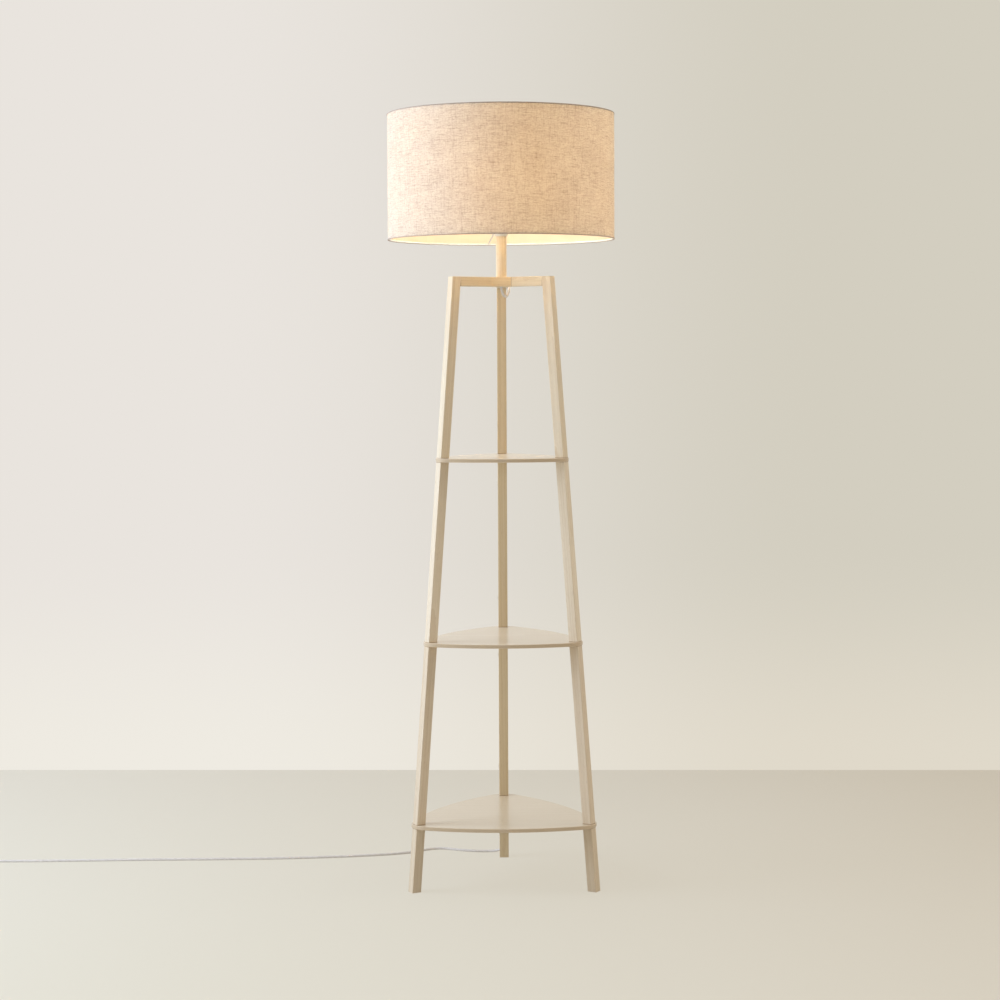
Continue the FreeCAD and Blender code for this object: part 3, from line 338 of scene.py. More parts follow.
def link_piece(name, data, body=BODY):
    """An object of a mesh or a curve, carried by a body."""
    piece = new_object(name, data)
    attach(piece, body)
    return piece


def place_mesh(name, vertices, faces, material, body=BODY):
    """A piece with points that lie together joined, as on a revolved piece's axis, and all faces outward."""
    mesh = bpy.data.meshes.new(name)
    mesh.from_pydata([tuple(vertex) for vertex in vertices], [], faces)
    mesh.validate()
    mesh.polygons.foreach_set("use_smooth", [True] * len(mesh.polygons))
    mesh.materials.append(material)
    work = bmesh.new()
    work.from_mesh(mesh)
    bmesh.ops.remove_doubles(work, verts=work.verts, dist=WELD_DISTANCE)
    bmesh.ops.recalc_face_normals(work, faces=work.faces)
    work.to_mesh(mesh)
    work.free()
    mesh.set_sharp_from_angle(angle=SHARP_ANGLE)
    return link_piece(name, mesh, body)


def turns(count):
    """Angles of even steps round a circle."""
    return [2 * math.pi * step / count for step in range(count)]


def grid_faces(rows, columns, wrap_rows, wrap_columns, start=0):
    """Quads of a grid of points numbered row by row, from start on."""
    faces = []
    for row in range(rows if wrap_rows else rows - 1):
        here, following = start + row * columns, start + (row + 1) % rows * columns
        for column in range(columns if wrap_columns else columns - 1):
            beside = (column + 1) % columns
            faces.append((here + column, here + beside, following + beside, following + column))
    return faces


def end_face(row, columns, start=0):
    """The flat face that closes a grid at one of its rows."""
    return tuple(start + row * columns + column for column in range(columns))


def rounded(corners, radius, steps=3, closed=True):
    """(radius, height) corners with each corner eased by a short curve. Points on the axis stay."""
    eased = []
    count = len(corners)
    for index, corner in enumerate(corners):
        here = Vector(corner)
        at_end = not closed and index in (0, count - 1)
        if at_end or abs(here.x) < 1e-6:
            eased.append(here)
            continue
        before = Vector(corners[index - 1])
        after = Vector(corners[(index + 1) % count])
        start = here + (before - here).normalized() * min(radius, 0.42 * (before - here).length)
        end = here + (after - here).normalized() * min(radius, 0.42 * (after - here).length)
        for step in range(steps + 1):
            share = step / steps
            eased.append(start * (1 - share) ** 2 + here * (2 * share * (1 - share)) + end * share ** 2)
    return [(point.x, point.y) for point in eased]


def lathe(name, corners, material, closed=True, segments=96):
    """A piece revolved about the lamp's axis, from (radius, height) corners."""
    vertices = [(radius * math.cos(angle), radius * math.sin(angle), z)
                for radius, z in corners for angle in turns(segments)]
    return place_mesh(name, vertices, grid_faces(len(corners), segments, closed, True), material)


def threaded(name, radius, depth, pitch, low, high, material, wall=0.0, segments=64):
    """A rolled thread: a sleeve whose radius follows a helix, with smooth runs at its ends."""
    rows = max(8, int((high - low) / pitch * 10))
    grid = []
    for row in range(rows + 1):
        z = low + (high - low) * row / rows
        fade = max(0.0, min(1.0, (z - low) / (0.6 * pitch), (high - z) / (0.6 * pitch)))
        grid.append([(radius - depth / 2 * (1 - fade * math.cos(2 * math.pi * z / pitch - angle)), angle, z)
                     for angle in turns(segments)])
    if wall:
        grid += [[(reach - wall, angle, z) for reach, angle, z in row] for row in reversed(grid)]
    vertices = [(reach * math.cos(angle), reach * math.sin(angle), z)
                for row in grid for reach, angle, z in row]
    return place_mesh(name, vertices, grid_faces(len(grid), segments, wall > 0, True), material)


def rounded_box(angle, half_width, half_height, squareness):
    """A point (across, upward) on a rounded box's outline, which is an ellipse at squareness 2."""
    return [math.copysign(abs(wave) ** (2 / squareness), wave) * half
            for wave, half in ((math.cos(angle), half_width), (math.sin(angle), half_height))]


def loft(name, sections, material, place, body=BODY, around=48):
    """A closed body through rounded boxes: (station, half width, half height, squareness, rise)."""
    vertices = []
    for station, half_width, half_height, squareness, rise in sections:
        for angle in turns(around):
            across, upward = rounded_box(angle, half_width, half_height, squareness)
            vertices.append(place @ Vector((across, upward + rise, station)))
    faces = grid_faces(len(sections), around, False, True)
    faces += [end_face(0, around), end_face(len(sections) - 1, around)]
    return place_mesh(name, vertices, faces, material, body)


def spline_curve(name, points, diameter, material):
    """A round wire or lead along a smooth NURBS line through the middle of its control runs."""
    data = bpy.data.curves.new(name, "CURVE")
    data.dimensions = "3D"
    spline = data.splines.new("NURBS")
    spline.points.add(len(points) - 1)
    for point, place in zip(spline.points, points):
        point.co = (*place, 1.0)
    spline.order_u = 3
    spline.use_endpoint_u = True
    spline.resolution_u = 8
    data.bevel_depth = diameter / 2
    data.bevel_resolution = 5
    data.use_fill_caps = True
    data.materials.append(material)
    return link_piece(name, data)


# ---- mains lead ----
CORD_DIAMETER = 5.0 * MM
CORD_RADIUS = CORD_DIAMETER / 2
CORD_GAP = 0.3 * MM
COIL_CENTRE = Vector((-1.095, 0.142, 0.0))
COIL_OUTER_TURN = 30.0 * MM
COIL_INNER_TURN = 25.0 * MM
POINTS_PER_TURN = 18


def leg_back(z):
    """Middle of the lead down the back of the rear leg, at a height."""
    away = (CORD_GAP + CORD_RADIUS) / math.cos(LEG_SPLAY)
    return (0.0, LEG_FOOT_REACH - math.tan(LEG_SPLAY) * z + away, z)


LEG_TOP_REACH = LEG_FOOT_REACH - math.tan(LEG_SPLAY) * FRAME_TOP
ARM_SIDE = LEG_SECTION / 2 + CORD_GAP + CORD_RADIUS
BLOCK_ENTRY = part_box("lead_held")[1].z
# Where the straight run down the leg begins and ends.
LINE_TOP = FRAME_TOP - 57.5 * MM
LINE_END = 46.0 * MM


def held_route():
    """From the lampholder down the stem, in a loop under the hub, along the rear arm and down the leg."""
    top = LEG_TOP_REACH
    by_arm = [(0, 0, -0.0105), (0.009, 0.018, -0.0215), (0.015, 0.038, -0.0105), (0.0145, 0.052, 0.0065),
              (ARM_SIDE, 0.068, 0.0105), (ARM_SIDE, top - 0.017, 0.0105), (0.0145, top - 0.001, 0.011),
              (0.0105, top + 0.012, 0.0035), (0.0025, top + 0.0145, -0.0095), (0, top + 0.0085, -0.025)]
    route = [(0, 0, BLOCK_ENTRY), (0, 0, ARM_UNDERSIDE + 0.03)]
    route += [(x, y, ARM_UNDERSIDE + rise) for x, y, rise in by_arm]
    return route + [leg_back(z) for z in (LINE_TOP, LINE_TOP - 0.03, LINE_END + 0.03, LINE_END)]


def floor_route():
    """From the lowest clip to the floor, away to the left behind the left leg, and into the coil."""
    floor = CORD_RADIUS
    laid = [(-0.034, 0.243), (-0.056, 0.2445), (-0.078, 0.250), (-0.101, 0.259), (-0.122, 0.2705),
            (-0.143, 0.2725), (-0.162, 0.264), (-0.180, 0.248), (-0.200, 0.234), (-0.226, 0.2235),
            (-0.262, 0.2135),
            (-0.306, 0.2045), (-0.362, 0.196), (-0.428, 0.1885), (-0.499, 0.184), (-0.572, 0.1818),
            (-0.645, 0.1802), (-0.718, 0.179), (-0.790, 0.1774), (-0.862, 0.1752), (-0.932, 0.1726),
            (-0.998, 0.171), (-1.045, 0.1713)]
    route = [leg_back(LINE_END), leg_back(0.0295), (-0.0035, 0.2215, 0.0135), (-0.014, 0.2355, 0.005)]
    return route + [(x, y, floor) for x, y in laid]


def eased(value, low, high):
    share = min(1.0, max(0.0, (value - low) / (high - low)))
    return share * share * (3 - 2 * share)


def coil_route():
    """Three and a quarter turns: out, in, up a layer and out again, then away to the plug."""
    first, last = 90.0, 1260.0
    steps = int((last - first) / 360 * POINTS_PER_TURN)
    shrink = math.cos(math.pi / POINTS_PER_TURN)
    route = []
    for step in range(steps + 1):
        angle = first + (last - first) * step / steps
        inward = eased(angle, 335, 405) - eased(angle, 940, 1000)
        radius = COIL_OUTER_TURN - (COIL_OUTER_TURN - COIL_INNER_TURN) * inward
        z = CORD_RADIUS + CORD_DIAMETER * eased(angle, 640, 700)
        turn = math.radians(angle)
        route.append((COIL_CENTRE.x + radius / shrink * math.cos(turn),
                      COIL_CENTRE.y + radius / shrink * math.sin(turn), z))
    return route


def lead_material():
    """A clear sheath over pale cores: the cores' twist shows as faint slanting bands."""
    material, tree, shader = new_material("lead_sheath")
    place = object_coordinates(tree)
    clouds = noise(tree, place, 90.0, 2.0, 0.5, 2.0)
    fine = noise(tree, place, 1500.0, 1.0, 0.5, 5.0)
    twist = add(tree, "TexWave", {"Vector": place, "Scale": 38.0, "Distortion": 1.2, "Detail": 1.0,
                                  "Detail Scale": 2.0},
                wave_type="BANDS", bands_direction="DIAGONAL").outputs["Fac"]
    pale, grey = srgb(222, 215, 207), srgb(199, 191, 184)
    share = arithmetic(tree, "MULTIPLY_ADD", twist, 0.18, arithmetic(tree, "MULTIPLY", clouds, 0.6))
    fill(tree, shader, {"Base Color": blend_colours(tree, share, pale, grey),
                        "Roughness": remap(tree, clouds, 0.3, 0.7, 0.2, 0.32),
                        "Normal": bump(tree, fine, 0.03 * MM, 0.4),
                        "Coat Weight": 0.5, "Coat Roughness": 0.15})
    return material


def add_lead():
    sheath = lead_material()
    held = spline_curve("lead_held_line", held_route(), CORD_DIAMETER, sheath)
    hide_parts("lead_held")
    plug_z = CORD_RADIUS + CORD_DIAMETER
    relief_top = (COIL_CENTRE.x - COIL_OUTER_TURN, COIL_CENTRE.y - 0.022, plug_z)
    route = floor_route() + [(COIL_CENTRE.x + 0.0183, COIL_CENTRE.y + COIL_OUTER_TURN, CORD_RADIUS)]
    route += coil_route()[1:]
    route += [(relief_top[0], COIL_CENTRE.y - 0.012, plug_z), relief_top]
    free = spline_curve("lead_floor_line", route, CORD_DIAMETER, sheath)
    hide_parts("lead_floor", "lead_coil")
    plug = add_plug(relief_top)
    tie = add_tie()


def add_plug(lead_end):
    """A moulded two-blade plug: tapered ribbed relief, waisted body with a grip, flat front."""
    moulded = smooth_material("plug_moulding", srgb(214, 210, 202), 0.34, grain=0.05, coat=0.2, seed=8.0)
    middle = (plug_low.z + plug_high.z) / 2
    place = Matrix.Translation((lead_end[0], lead_end[1], 0)) @ Matrix.Rotation(math.radians(90), 4, "X")
    relief = 22.0 * MM
    body = lead_end[1] - plug_low.y - relief
    half_width = (plug_high.x - plug_low.x) / 2
    half_height = (plug_high.z - plug_low.z) / 2
    rise = lead_end[2]
    sections = []
    ribs = 5
    for step in range(ribs * 6 + 1):
        share = step / (ribs * 6)
        groove = 0.35 * MM * (0.5 - 0.5 * math.cos(2 * math.pi * ribs * share))
        radius = CORD_RADIUS + (0.8 + 1.8 * share) * MM - groove
        sections.append((relief * share * 0.93, radius, radius, 2.0, rise))
    # (share of the body's length, shares of its half width and half height, squareness)
    shape = [(0.00, 0.34, 0.60, 2.2), (0.04, 0.52, 0.80, 2.6), (0.10, 0.64, 0.93, 3.0),
             (0.22, 0.72, 0.98, 3.4), (0.36, 0.80, 1.00, 3.8), (0.42, 0.86, 1.00, 4.0),
             (0.46, 0.94, 1.00, 4.2), (0.52, 0.99, 1.00, 4.6), (0.70, 1.00, 1.00, 5.0),
             (0.93, 1.00, 1.00, 5.0), (0.98, 0.975, 0.96, 5.0), (1.00, 0.93, 0.90, 5.0)]
    for station, wide, high, squareness in shape:
        sections.append((relief + body * station, half_width * wide, half_height * high, squareness, middle))
    plug = loft("plug_moulded", sections, moulded, place)
    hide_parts("plug_body")
    return plug


def add_tie():
    """A hook-and-loop strap round the coil."""
    strap = smooth_material("tie_strap", srgb(64, 64, 66), 0.8, grain=0.25, seed=11.0)
    middle = (tie_low + tie_high) / 2
    wide, half, high = (tie_high - tie_low) / 2
    wide -= 0.1 * MM
    thickness = 0.9 * MM
    around = 64
    vertices = []
    for y, shrink in ((-half, thickness), (-half, 0.0), (half, 0.0), (half, thickness)):
        for angle in turns(around):
            across, upward = rounded_box(angle, wide - shrink, high - shrink, 4.5)
            vertices.append(middle + Vector((across, y, upward)))
    tie = place_mesh("coil_tie_strap", vertices, grid_faces(4, around, True, True), strap)
    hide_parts("coil_tie")
    return tie


# ---- clips on the rear leg and arm ----
CLIP_LENGTH = 8.0 * MM
CLIP_WALL = 1.6 * MM
CLIP_LUG = 6.5 * MM
CLIP_CLEARANCE = 0.15 * MM
CLIP_EASE = 0.3 * MM
NAIL_RADIUS = 1.8 * MM
NAIL_RISE = 0.8 * MM
LOWEST_CLIP = 50.0 * MM
TOP_CLIP_DROP = 87.5 * MM
CLIP_FROM_SHELF = 60.0 * MM
CLIP_FROM_ARM_END = 15.0 * MM
ARM_LINE_RISE = 10.5 * MM


def clip_section():
    """Outline of a saddle clip across the lead: over the lead and down to a lug, as (x, y) points."""
    inner = CORD_RADIUS + CLIP_CLEARANCE
    outer = inner + CLIP_WALL
    face = -(CORD_RADIUS + CORD_GAP)
    foot = face + CLIP_WALL * 1.5
    outline = [(face, -outer), (0.0, -outer)]
    for step in range(1, 12):
        angle = math.radians(-90 + 180 * step / 12)
        outline.append((outer * math.cos(angle), outer * math.sin(angle)))
    outline += [(0.0, outer), (foot + 0.5 * MM, outer), (foot, outer + 0.5 * MM),
                (foot, outer + CLIP_LUG - 0.6 * MM), (foot - 0.6 * MM, outer + CLIP_LUG),
                (face, outer + CLIP_LUG), (face, inner), (0.0, inner)]
    for step in range(1, 12):
        angle = math.radians(90 - 180 * step / 12)
        outline.append((inner * math.cos(angle), inner * math.sin(angle)))
    return outline + [(0.0, -inner), (face, -inner)]


def clip_frames():
    """A matrix for each clip: its Z along the lead and its -X towards the wood."""
    shelf_tops = [high.z for low, high in shelf_boxes.values()]
    heights = [LOWEST_CLIP, shelf_tops[0] + CLIP_FROM_SHELF, FRAME_TOP - TOP_CLIP_DROP]
    for z in shelf_tops[1:]:
        heights += [z - CLIP_FROM_SHELF, z + CLIP_FROM_SHELF]
    turn = Matrix.Rotation(math.radians(90), 4, "Z") @ Matrix.Rotation(-LEG_SPLAY, 4, "Y")
    frames = [Matrix.Translation(leg_back(z)) @ turn for z in heights]
    leg_middle = LEG_FOOT_REACH - math.tan(LEG_SPLAY) * (FRAME_TOP - LEG_SECTION / 2)
    arm_end = leg_middle - LEG_SECTION / math.cos(LEG_SPLAY)
    on_arm = Matrix.Translation((ARM_SIDE, arm_end - CLIP_FROM_ARM_END, ARM_UNDERSIDE + ARM_LINE_RISE))
    return frames + [on_arm @ Matrix.Rotation(math.radians(-90), 4, "X")]


def add_clips():
    white = smooth_material("clip_white", srgb(238, 235, 228), 0.4, grain=0.03, coat=0.1, seed=14.0)
    steel = smooth_material("nail_steel", srgb(172, 172, 170), 0.35, 1.0, 0.04, seed=15.0)
    outline = clip_section()
    count = len(outline)
    vertices, faces = [], []
    nail_vertices, nail_faces = [], []
    head = [(0.0, 1.0), (0.45, 0.93), (0.8, 0.72), (0.97, 0.38), (1.0, 0.0)]
    around = 20
    seat = -(CORD_RADIUS + CORD_GAP) + CLIP_WALL * 1.5
    nail_y = CORD_RADIUS + CLIP_CLEARANCE + CLIP_WALL + CLIP_LUG / 2
    end = CLIP_LENGTH / 2
    stations = (-end, -end + CLIP_EASE, end - CLIP_EASE, end)
    for matrix in clip_frames():
        start = len(vertices)
        vertices += [matrix @ Vector((x, y, z)) for z in stations for x, y in outline]
        faces += grid_faces(len(stations), count, False, True, start)
        faces += [end_face(0, count, start), end_face(len(stations) - 1, count, start)]
        start = len(nail_vertices)
        for share, rise in head:
            reach = share * NAIL_RADIUS
            for angle in turns(around):
                y, z = nail_y + reach * math.cos(angle), reach * math.sin(angle)
                nail_vertices.append(matrix @ Vector((seat + rise * NAIL_RISE, y, z)))
        nail_faces += grid_faces(len(head), around, False, True, start)
        nail_faces.append(end_face(len(head) - 1, around, start))
    clips = place_mesh("lead_clip_saddles", vertices, faces, white)
    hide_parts("lead_clips")
    nails = place_mesh("clip_nail_heads", nail_vertices, nail_faces, steel)
    paint_node("clip_nails", steel)


# ---- shade ----
SEAM_AZIMUTH = math.radians(72.0)
CLOTH_ROWS = 96
CLOTH_COLUMNS = 480
WEAVE_PITCH = 1.1 * MM
LAP_WIDTH = 10.0 * MM
# Shares of the light that the cloth, its trim and the film let through.
LINEN_GLOW = 0.40
TRIM_GLOW = 0.08
FILM_GLOW = 0.55
# Slubs of the linen: how often they change per metre round and up the shade, their noise range and share.
SLUBS = ((36.0, 520.0, 0.50, 0.74, 0.50), (85.0, 760.0, 0.44, 0.70, 0.30), (520.0, 34.0, 0.52, 0.76, 0.34),
         (760.0, 80.0, 0.46, 0.72, 0.22), (240.0, 420.0, 0.46, 0.74, 0.40), (22.0, 30.0, 0.35, 0.70, 0.16))
LINEN_TONES = (srgb(246, 244, 235), srgb(234, 212, 182))
LINEN_LIT = (srgb(253, 230, 188), srgb(118, 74, 26))
# Painted shade: the folded hems' cloth darker than the linen, for the dark line along the shade's rims.
TRIM_PAINTED_SHADE_TONES = (srgb(206, 184, 166), srgb(172, 148, 130))


def let_light_through(tree, shader, share, colour):
    """Shows a share of the light that falls on a thin sheet's other side."""
    behind = add(tree, "BsdfTranslucent", {"Color": colour})
    both = add(tree, "MixShader", {0: share, 1: shader.outputs[0], 2: behind.outputs[0]})
    tree.links.new(both.outputs[0], tree.nodes["Material Output"].inputs["Surface"])


def linen_material(name, glow, tones, lit, lap=0.0):
    """Undyed linen with slubs both ways, lit from behind. UV is metres round and up the shade.

    lap is the width in which the cloth's end lies over its start, so that less light comes through.
    """
    material, tree, shader = new_material(name)
    metres = add(tree, "UVMap", uv_map="metres").outputs[0]
    parts = add(tree, "SeparateXYZ", {0: metres})
    turn = 2 * math.pi / WEAVE_PITCH
    across, upward = [arithmetic(tree, "SINE", arithmetic(tree, "MULTIPLY", parts.outputs[axis], turn))
                      for axis in ("X", "Y")]
    weave = arithmetic(tree, "MULTIPLY", across, upward)
    density = 0.0
    for index, (run_x, run_y, low, high, share) in enumerate(SLUBS):
        slubs = noise(tree, scaled(tree, metres, (run_x, run_y, 1.0)), 1.0, 2.0, 0.6, 3.7 * index)
        density = arithmetic(tree, "MULTIPLY_ADD", remap(tree, slubs, low, high), share, density)
    colour = blend_colours(tree, density, tones[0], tones[1])
    colour = blend_colours(tree, remap(tree, weave, -1.0, 1.0, 0.0, 0.10), colour, tones[1])
    relief = arithmetic(tree, "MULTIPLY_ADD", weave, 0.5, density)
    fill(tree, shader, {"Base Color": colour, "Roughness": 0.92, "Sheen Weight": 0.12, "Sheen Roughness": 0.5,
                        "Specular IOR Level": 0.25, "Normal": bump(tree, relief, 0.14 * MM, 0.5)})
    seen_through = blend_colours(tree, density, lit[0], lit[1])
    if lap:
        doubled = remap(tree, parts.outputs["X"], lap - 0.4 * MM, lap, 0.55, 0.0)
        seen_through = blend_colours(tree, doubled, seen_through, lit[1])
    let_light_through(tree, shader, glow, seen_through)
    return material


def film_material():
    """The white film that the linen is bonded to, seen glowing inside the shade."""
    material, tree, shader = new_material("shade_film")
    metres = add(tree, "UVMap", uv_map="metres").outputs[0]
    weft = noise(tree, scaled(tree, metres, (42.0, 950.0, 1.0)), 1.0, 2.0, 0.65, 1.0)
    clouds = noise(tree, metres, 40.0, 3.0, 0.5, 5.0)
    shade = arithmetic(tree, "MULTIPLY_ADD", weft, 0.35, arithmetic(tree, "MULTIPLY", clouds, 0.4))
    fill(tree, shader, {"Base Color": blend_colours(tree, shade, srgb(252, 237, 218), srgb(239, 220, 193)),
                        "Roughness": 0.55, "Normal": bump(tree, weft, 0.05 * MM, 0.4)})
    let_light_through(tree, shader, FILM_GLOW, srgb(252, 238, 214))
    return material


def drum(name, radius, low, high, material, uneven=0.0):
    """A thin upright cylinder of cloth or film with UVs in metres, its surface a little uneven."""
    circumference = 2 * math.pi * radius
    vertices, places = [], []
    for row in range(CLOTH_ROWS + 1):
        z = low + (high - low) * row / CLOTH_ROWS
        fade = math.sin(math.pi * row / CLOTH_ROWS)
        for column in range(CLOTH_COLUMNS + 1):
            share = column / CLOTH_COLUMNS
            angle = SEAM_AZIMUTH + 2 * math.pi * share
            broad = math.sin(5 * angle + 1.3) * math.sin(9.0 * z + 0.4)
            reach = radius + uneven * (broad + 0.5 * math.sin(11 * angle + 40 * z)) * fade
            vertices.append((reach * math.cos(angle), reach * math.sin(angle), z))
            places.append((share * circumference, z - low))
    mesh = bpy.data.meshes.new(name)
    mesh.from_pydata(vertices, [], grid_faces(CLOTH_ROWS + 1, CLOTH_COLUMNS + 1, False, False))
    layer = mesh.uv_layers.new(name="metres")
    for loop in mesh.loops:
        layer.data[loop.index].uv = places[loop.vertex_index]
    mesh.polygons.foreach_set("use_smooth", [True] * len(mesh.polygons))
    mesh.materials.append(material)
    return link_piece(name, mesh)


def band(name, corners, material):
    """A revolved strip of cloth with UVs in metres, from closed (radius, height) corners."""
    piece = lathe(name, corners, material, segments=384)
    layer = piece.data.uv_layers.new(name="metres")
    for loop in piece.data.loops:
        point = piece.data.vertices[loop.vertex_index].co
        angle = math.atan2(point.y, point.x) % (2 * math.pi)
        reach = math.hypot(point.x, point.y)
        layer.data[loop.index].uv = (angle * SHADE_RADIUS, point.z - SHADE_BOTTOM + (SHADE_RADIUS - reach))
    return piece


def hem_corners(edge, inward):
    """A strip folded over the shade's edge. inward is 1 at the bottom and -1 at the top."""
    out = SHADE_RADIUS
    inside = liner_high.x - 0.5 * MM
    thick = 0.45 * MM
    lip = edge - inward * 0.05 * MM
    full = 1.8 * MM * inward
    bulge = 0.8 * MM * inward
    return [(out + 0.05 * MM, edge + full), (out + thick, edge + full * 0.97), (out + thick, edge + bulge),
            (out + 0.1 * MM, lip), (inside - 0.1 * MM, lip), (inside - thick, edge + bulge),
            (inside - thick, edge + full * 0.97), (inside - 0.05 * MM, edge + full)]


def add_shade():
    linen = linen_material("shade_linen", LINEN_GLOW, LINEN_TONES, LINEN_LIT, lap=LAP_WIDTH)
    trim = linen_material("shade_trim_painted_shade", TRIM_GLOW, TRIM_PAINTED_SHADE_TONES, LINEN_LIT)
    cloth = drum("shade_linen_drum", SHADE_RADIUS - 0.25 * MM, SHADE_BOTTOM, SHADE_TOP, linen, 0.25 * MM)
    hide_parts("shade_cloth")
    film = drum("shade_film_drum", liner_high.x - 0.25 * MM, liner_low.z, liner_high.z, film_material())
    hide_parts("shade_liner")
    for name, edge, inward in (("shade_hem_bottom", SHADE_BOTTOM, 1), ("shade_hem_top", SHADE_TOP, -1)):
        hem = band(name, rounded(hem_corners(edge, inward), 0.4 * MM), trim)


SPOKE_AZIMUTHS = (96.7, 216.7, 336.7)
RING_WIRE = 3.5 * MM
SPOKE_WIRE = 3.0 * MM


def wire_circle(name, radius, z, wire, material):
    corners = [(radius + wire / 2 * math.cos(angle), z + wire / 2 * math.sin(angle)) for angle in turns(20)]
    return lathe(name, corners, material, segments=256)


def add_shade_frame():
    enamel = smooth_material("white_enamel", srgb(240, 237, 229), 0.3, grain=0.04, coat=0.3, seed=31.0)
    top_z = (ring_low.z + ring_high.z) / 2
    ring_radius = ring_high.x - RING_WIRE / 2
    top = wire_circle("shade_ring_upper", ring_radius, top_z, RING_WIRE, enamel)
    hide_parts("shade_top_ring")
    low_z = shade_frame_low.z + RING_WIRE / 2
    bottom = wire_circle("shade_ring_lower", ring_radius, low_z, RING_WIRE, enamel)
    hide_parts("shade_frame")
    seat = shade_frame_high.z
    collar = [(20.4, -1.5), (28.0, -1.5), (28.0, 0.0), (24.5, 0.0), (23.5, 0.0), (20.4, 0.0)]
    profile = rounded([(x * MM, seat + z * MM) for x, z in collar], 0.4 * MM)
    fitter = lathe("shade_fitter_ring", profile, enamel)
    inner_z = seat - 1.6 * MM
    bends = [(24.5 * MM, inner_z), (31.0 * MM, inner_z), (40.0 * MM, inner_z - 2.0 * MM),
             (ring_radius - 22 * MM, low_z + 4.6 * MM), (ring_radius - 9 * MM, low_z + 2.6 * MM),
             (ring_radius - 0.4 * MM, low_z + 1.2 * MM)]
    for index, azimuth in enumerate(SPOKE_AZIMUTHS):
        points = [polar(radius, azimuth, z) for radius, z in bends]
        spoke = spline_curve(f"shade_spoke_{index + 1}", points, SPOKE_WIRE, enamel)


# ---- bulb and lampholder ----
BULB_COLOUR = srgb(255, 247, 235)
BULB_STRENGTH = 65.0


def glowing_glass():
    material, tree, shader = new_material("bulb_frosted_glass")
    place = object_coordinates(tree)
    frost = noise(tree, place, 900.0, 2.0, 0.6, 3.0)
    fill(tree, shader, {"Base Color": blend_colours(tree, frost, srgb(255, 250, 240), srgb(244, 236, 222)),
                        "Normal": bump(tree, frost, 0.03 * MM, 0.4),
                        "Roughness": remap(tree, frost, 0.3, 0.7, 0.35, 0.5),
                        "Emission Color": BULB_COLOUR, "Emission Strength": BULB_STRENGTH})
    return material


def bulb_profile():
    """(radius, height) of the glass from its neck to its crown."""
    centre = glass_high.z - glass_high.x
    ball = glass_high.x
    neck = 13.9 * MM
    low = glass_low.z
    shoulder = math.radians(35)
    join = Vector((ball * math.cos(shoulder), centre - ball * math.sin(shoulder)))
    bend = Vector((neck, join.y - (join.x - neck) / math.tan(shoulder)))
    flare = Vector((neck, (low + bend.y) / 2))
    corners = [(neck - 1.2 * MM, low), (neck, low + 1.2 * MM)]
    for step in range(8):
        share = step / 8
        point = flare * (1 - share) ** 2 + bend * (2 * share * (1 - share)) + join * share ** 2
        corners.append((point.x, point.y))
    for step in range(25):
        turn = -shoulder + (math.pi / 2 + shoulder) * step / 24
        corners.append((max(0.0, ball * math.cos(turn)), centre + ball * math.sin(turn)))
    return corners


def add_bulb():
    glass = lathe("bulb_globe", bulb_profile(), glowing_glass(), closed=False, segments=64)
    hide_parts("bulb_glass")
    shell = smooth_material("bulb_shell", srgb(196, 196, 194), 0.28, 1.0, 0.03, seed=41.0)
    low, high = bulb_cap_low.z, bulb_cap_high.z
    radius = bulb_cap_high.x
    cap = threaded("bulb_cap_thread", radius, 1.1 * MM, 3.6 * MM, low + 6 * MM, high, shell)
    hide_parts("bulb_cap")
    foot = [(0.0, low), (4.0 * MM, low), (4.8 * MM, low + 1.2 * MM), (radius - 3.0 * MM, low + 3.0 * MM),
            (radius - 0.6 * MM, low + 5.0 * MM), (radius - 0.6 * MM, low + 6.2 * MM), (0.0, low + 6.2 * MM)]
    tip = lathe("bulb_cap_foot", rounded(foot, 0.5 * MM, closed=False), shell, closed=False, segments=64)


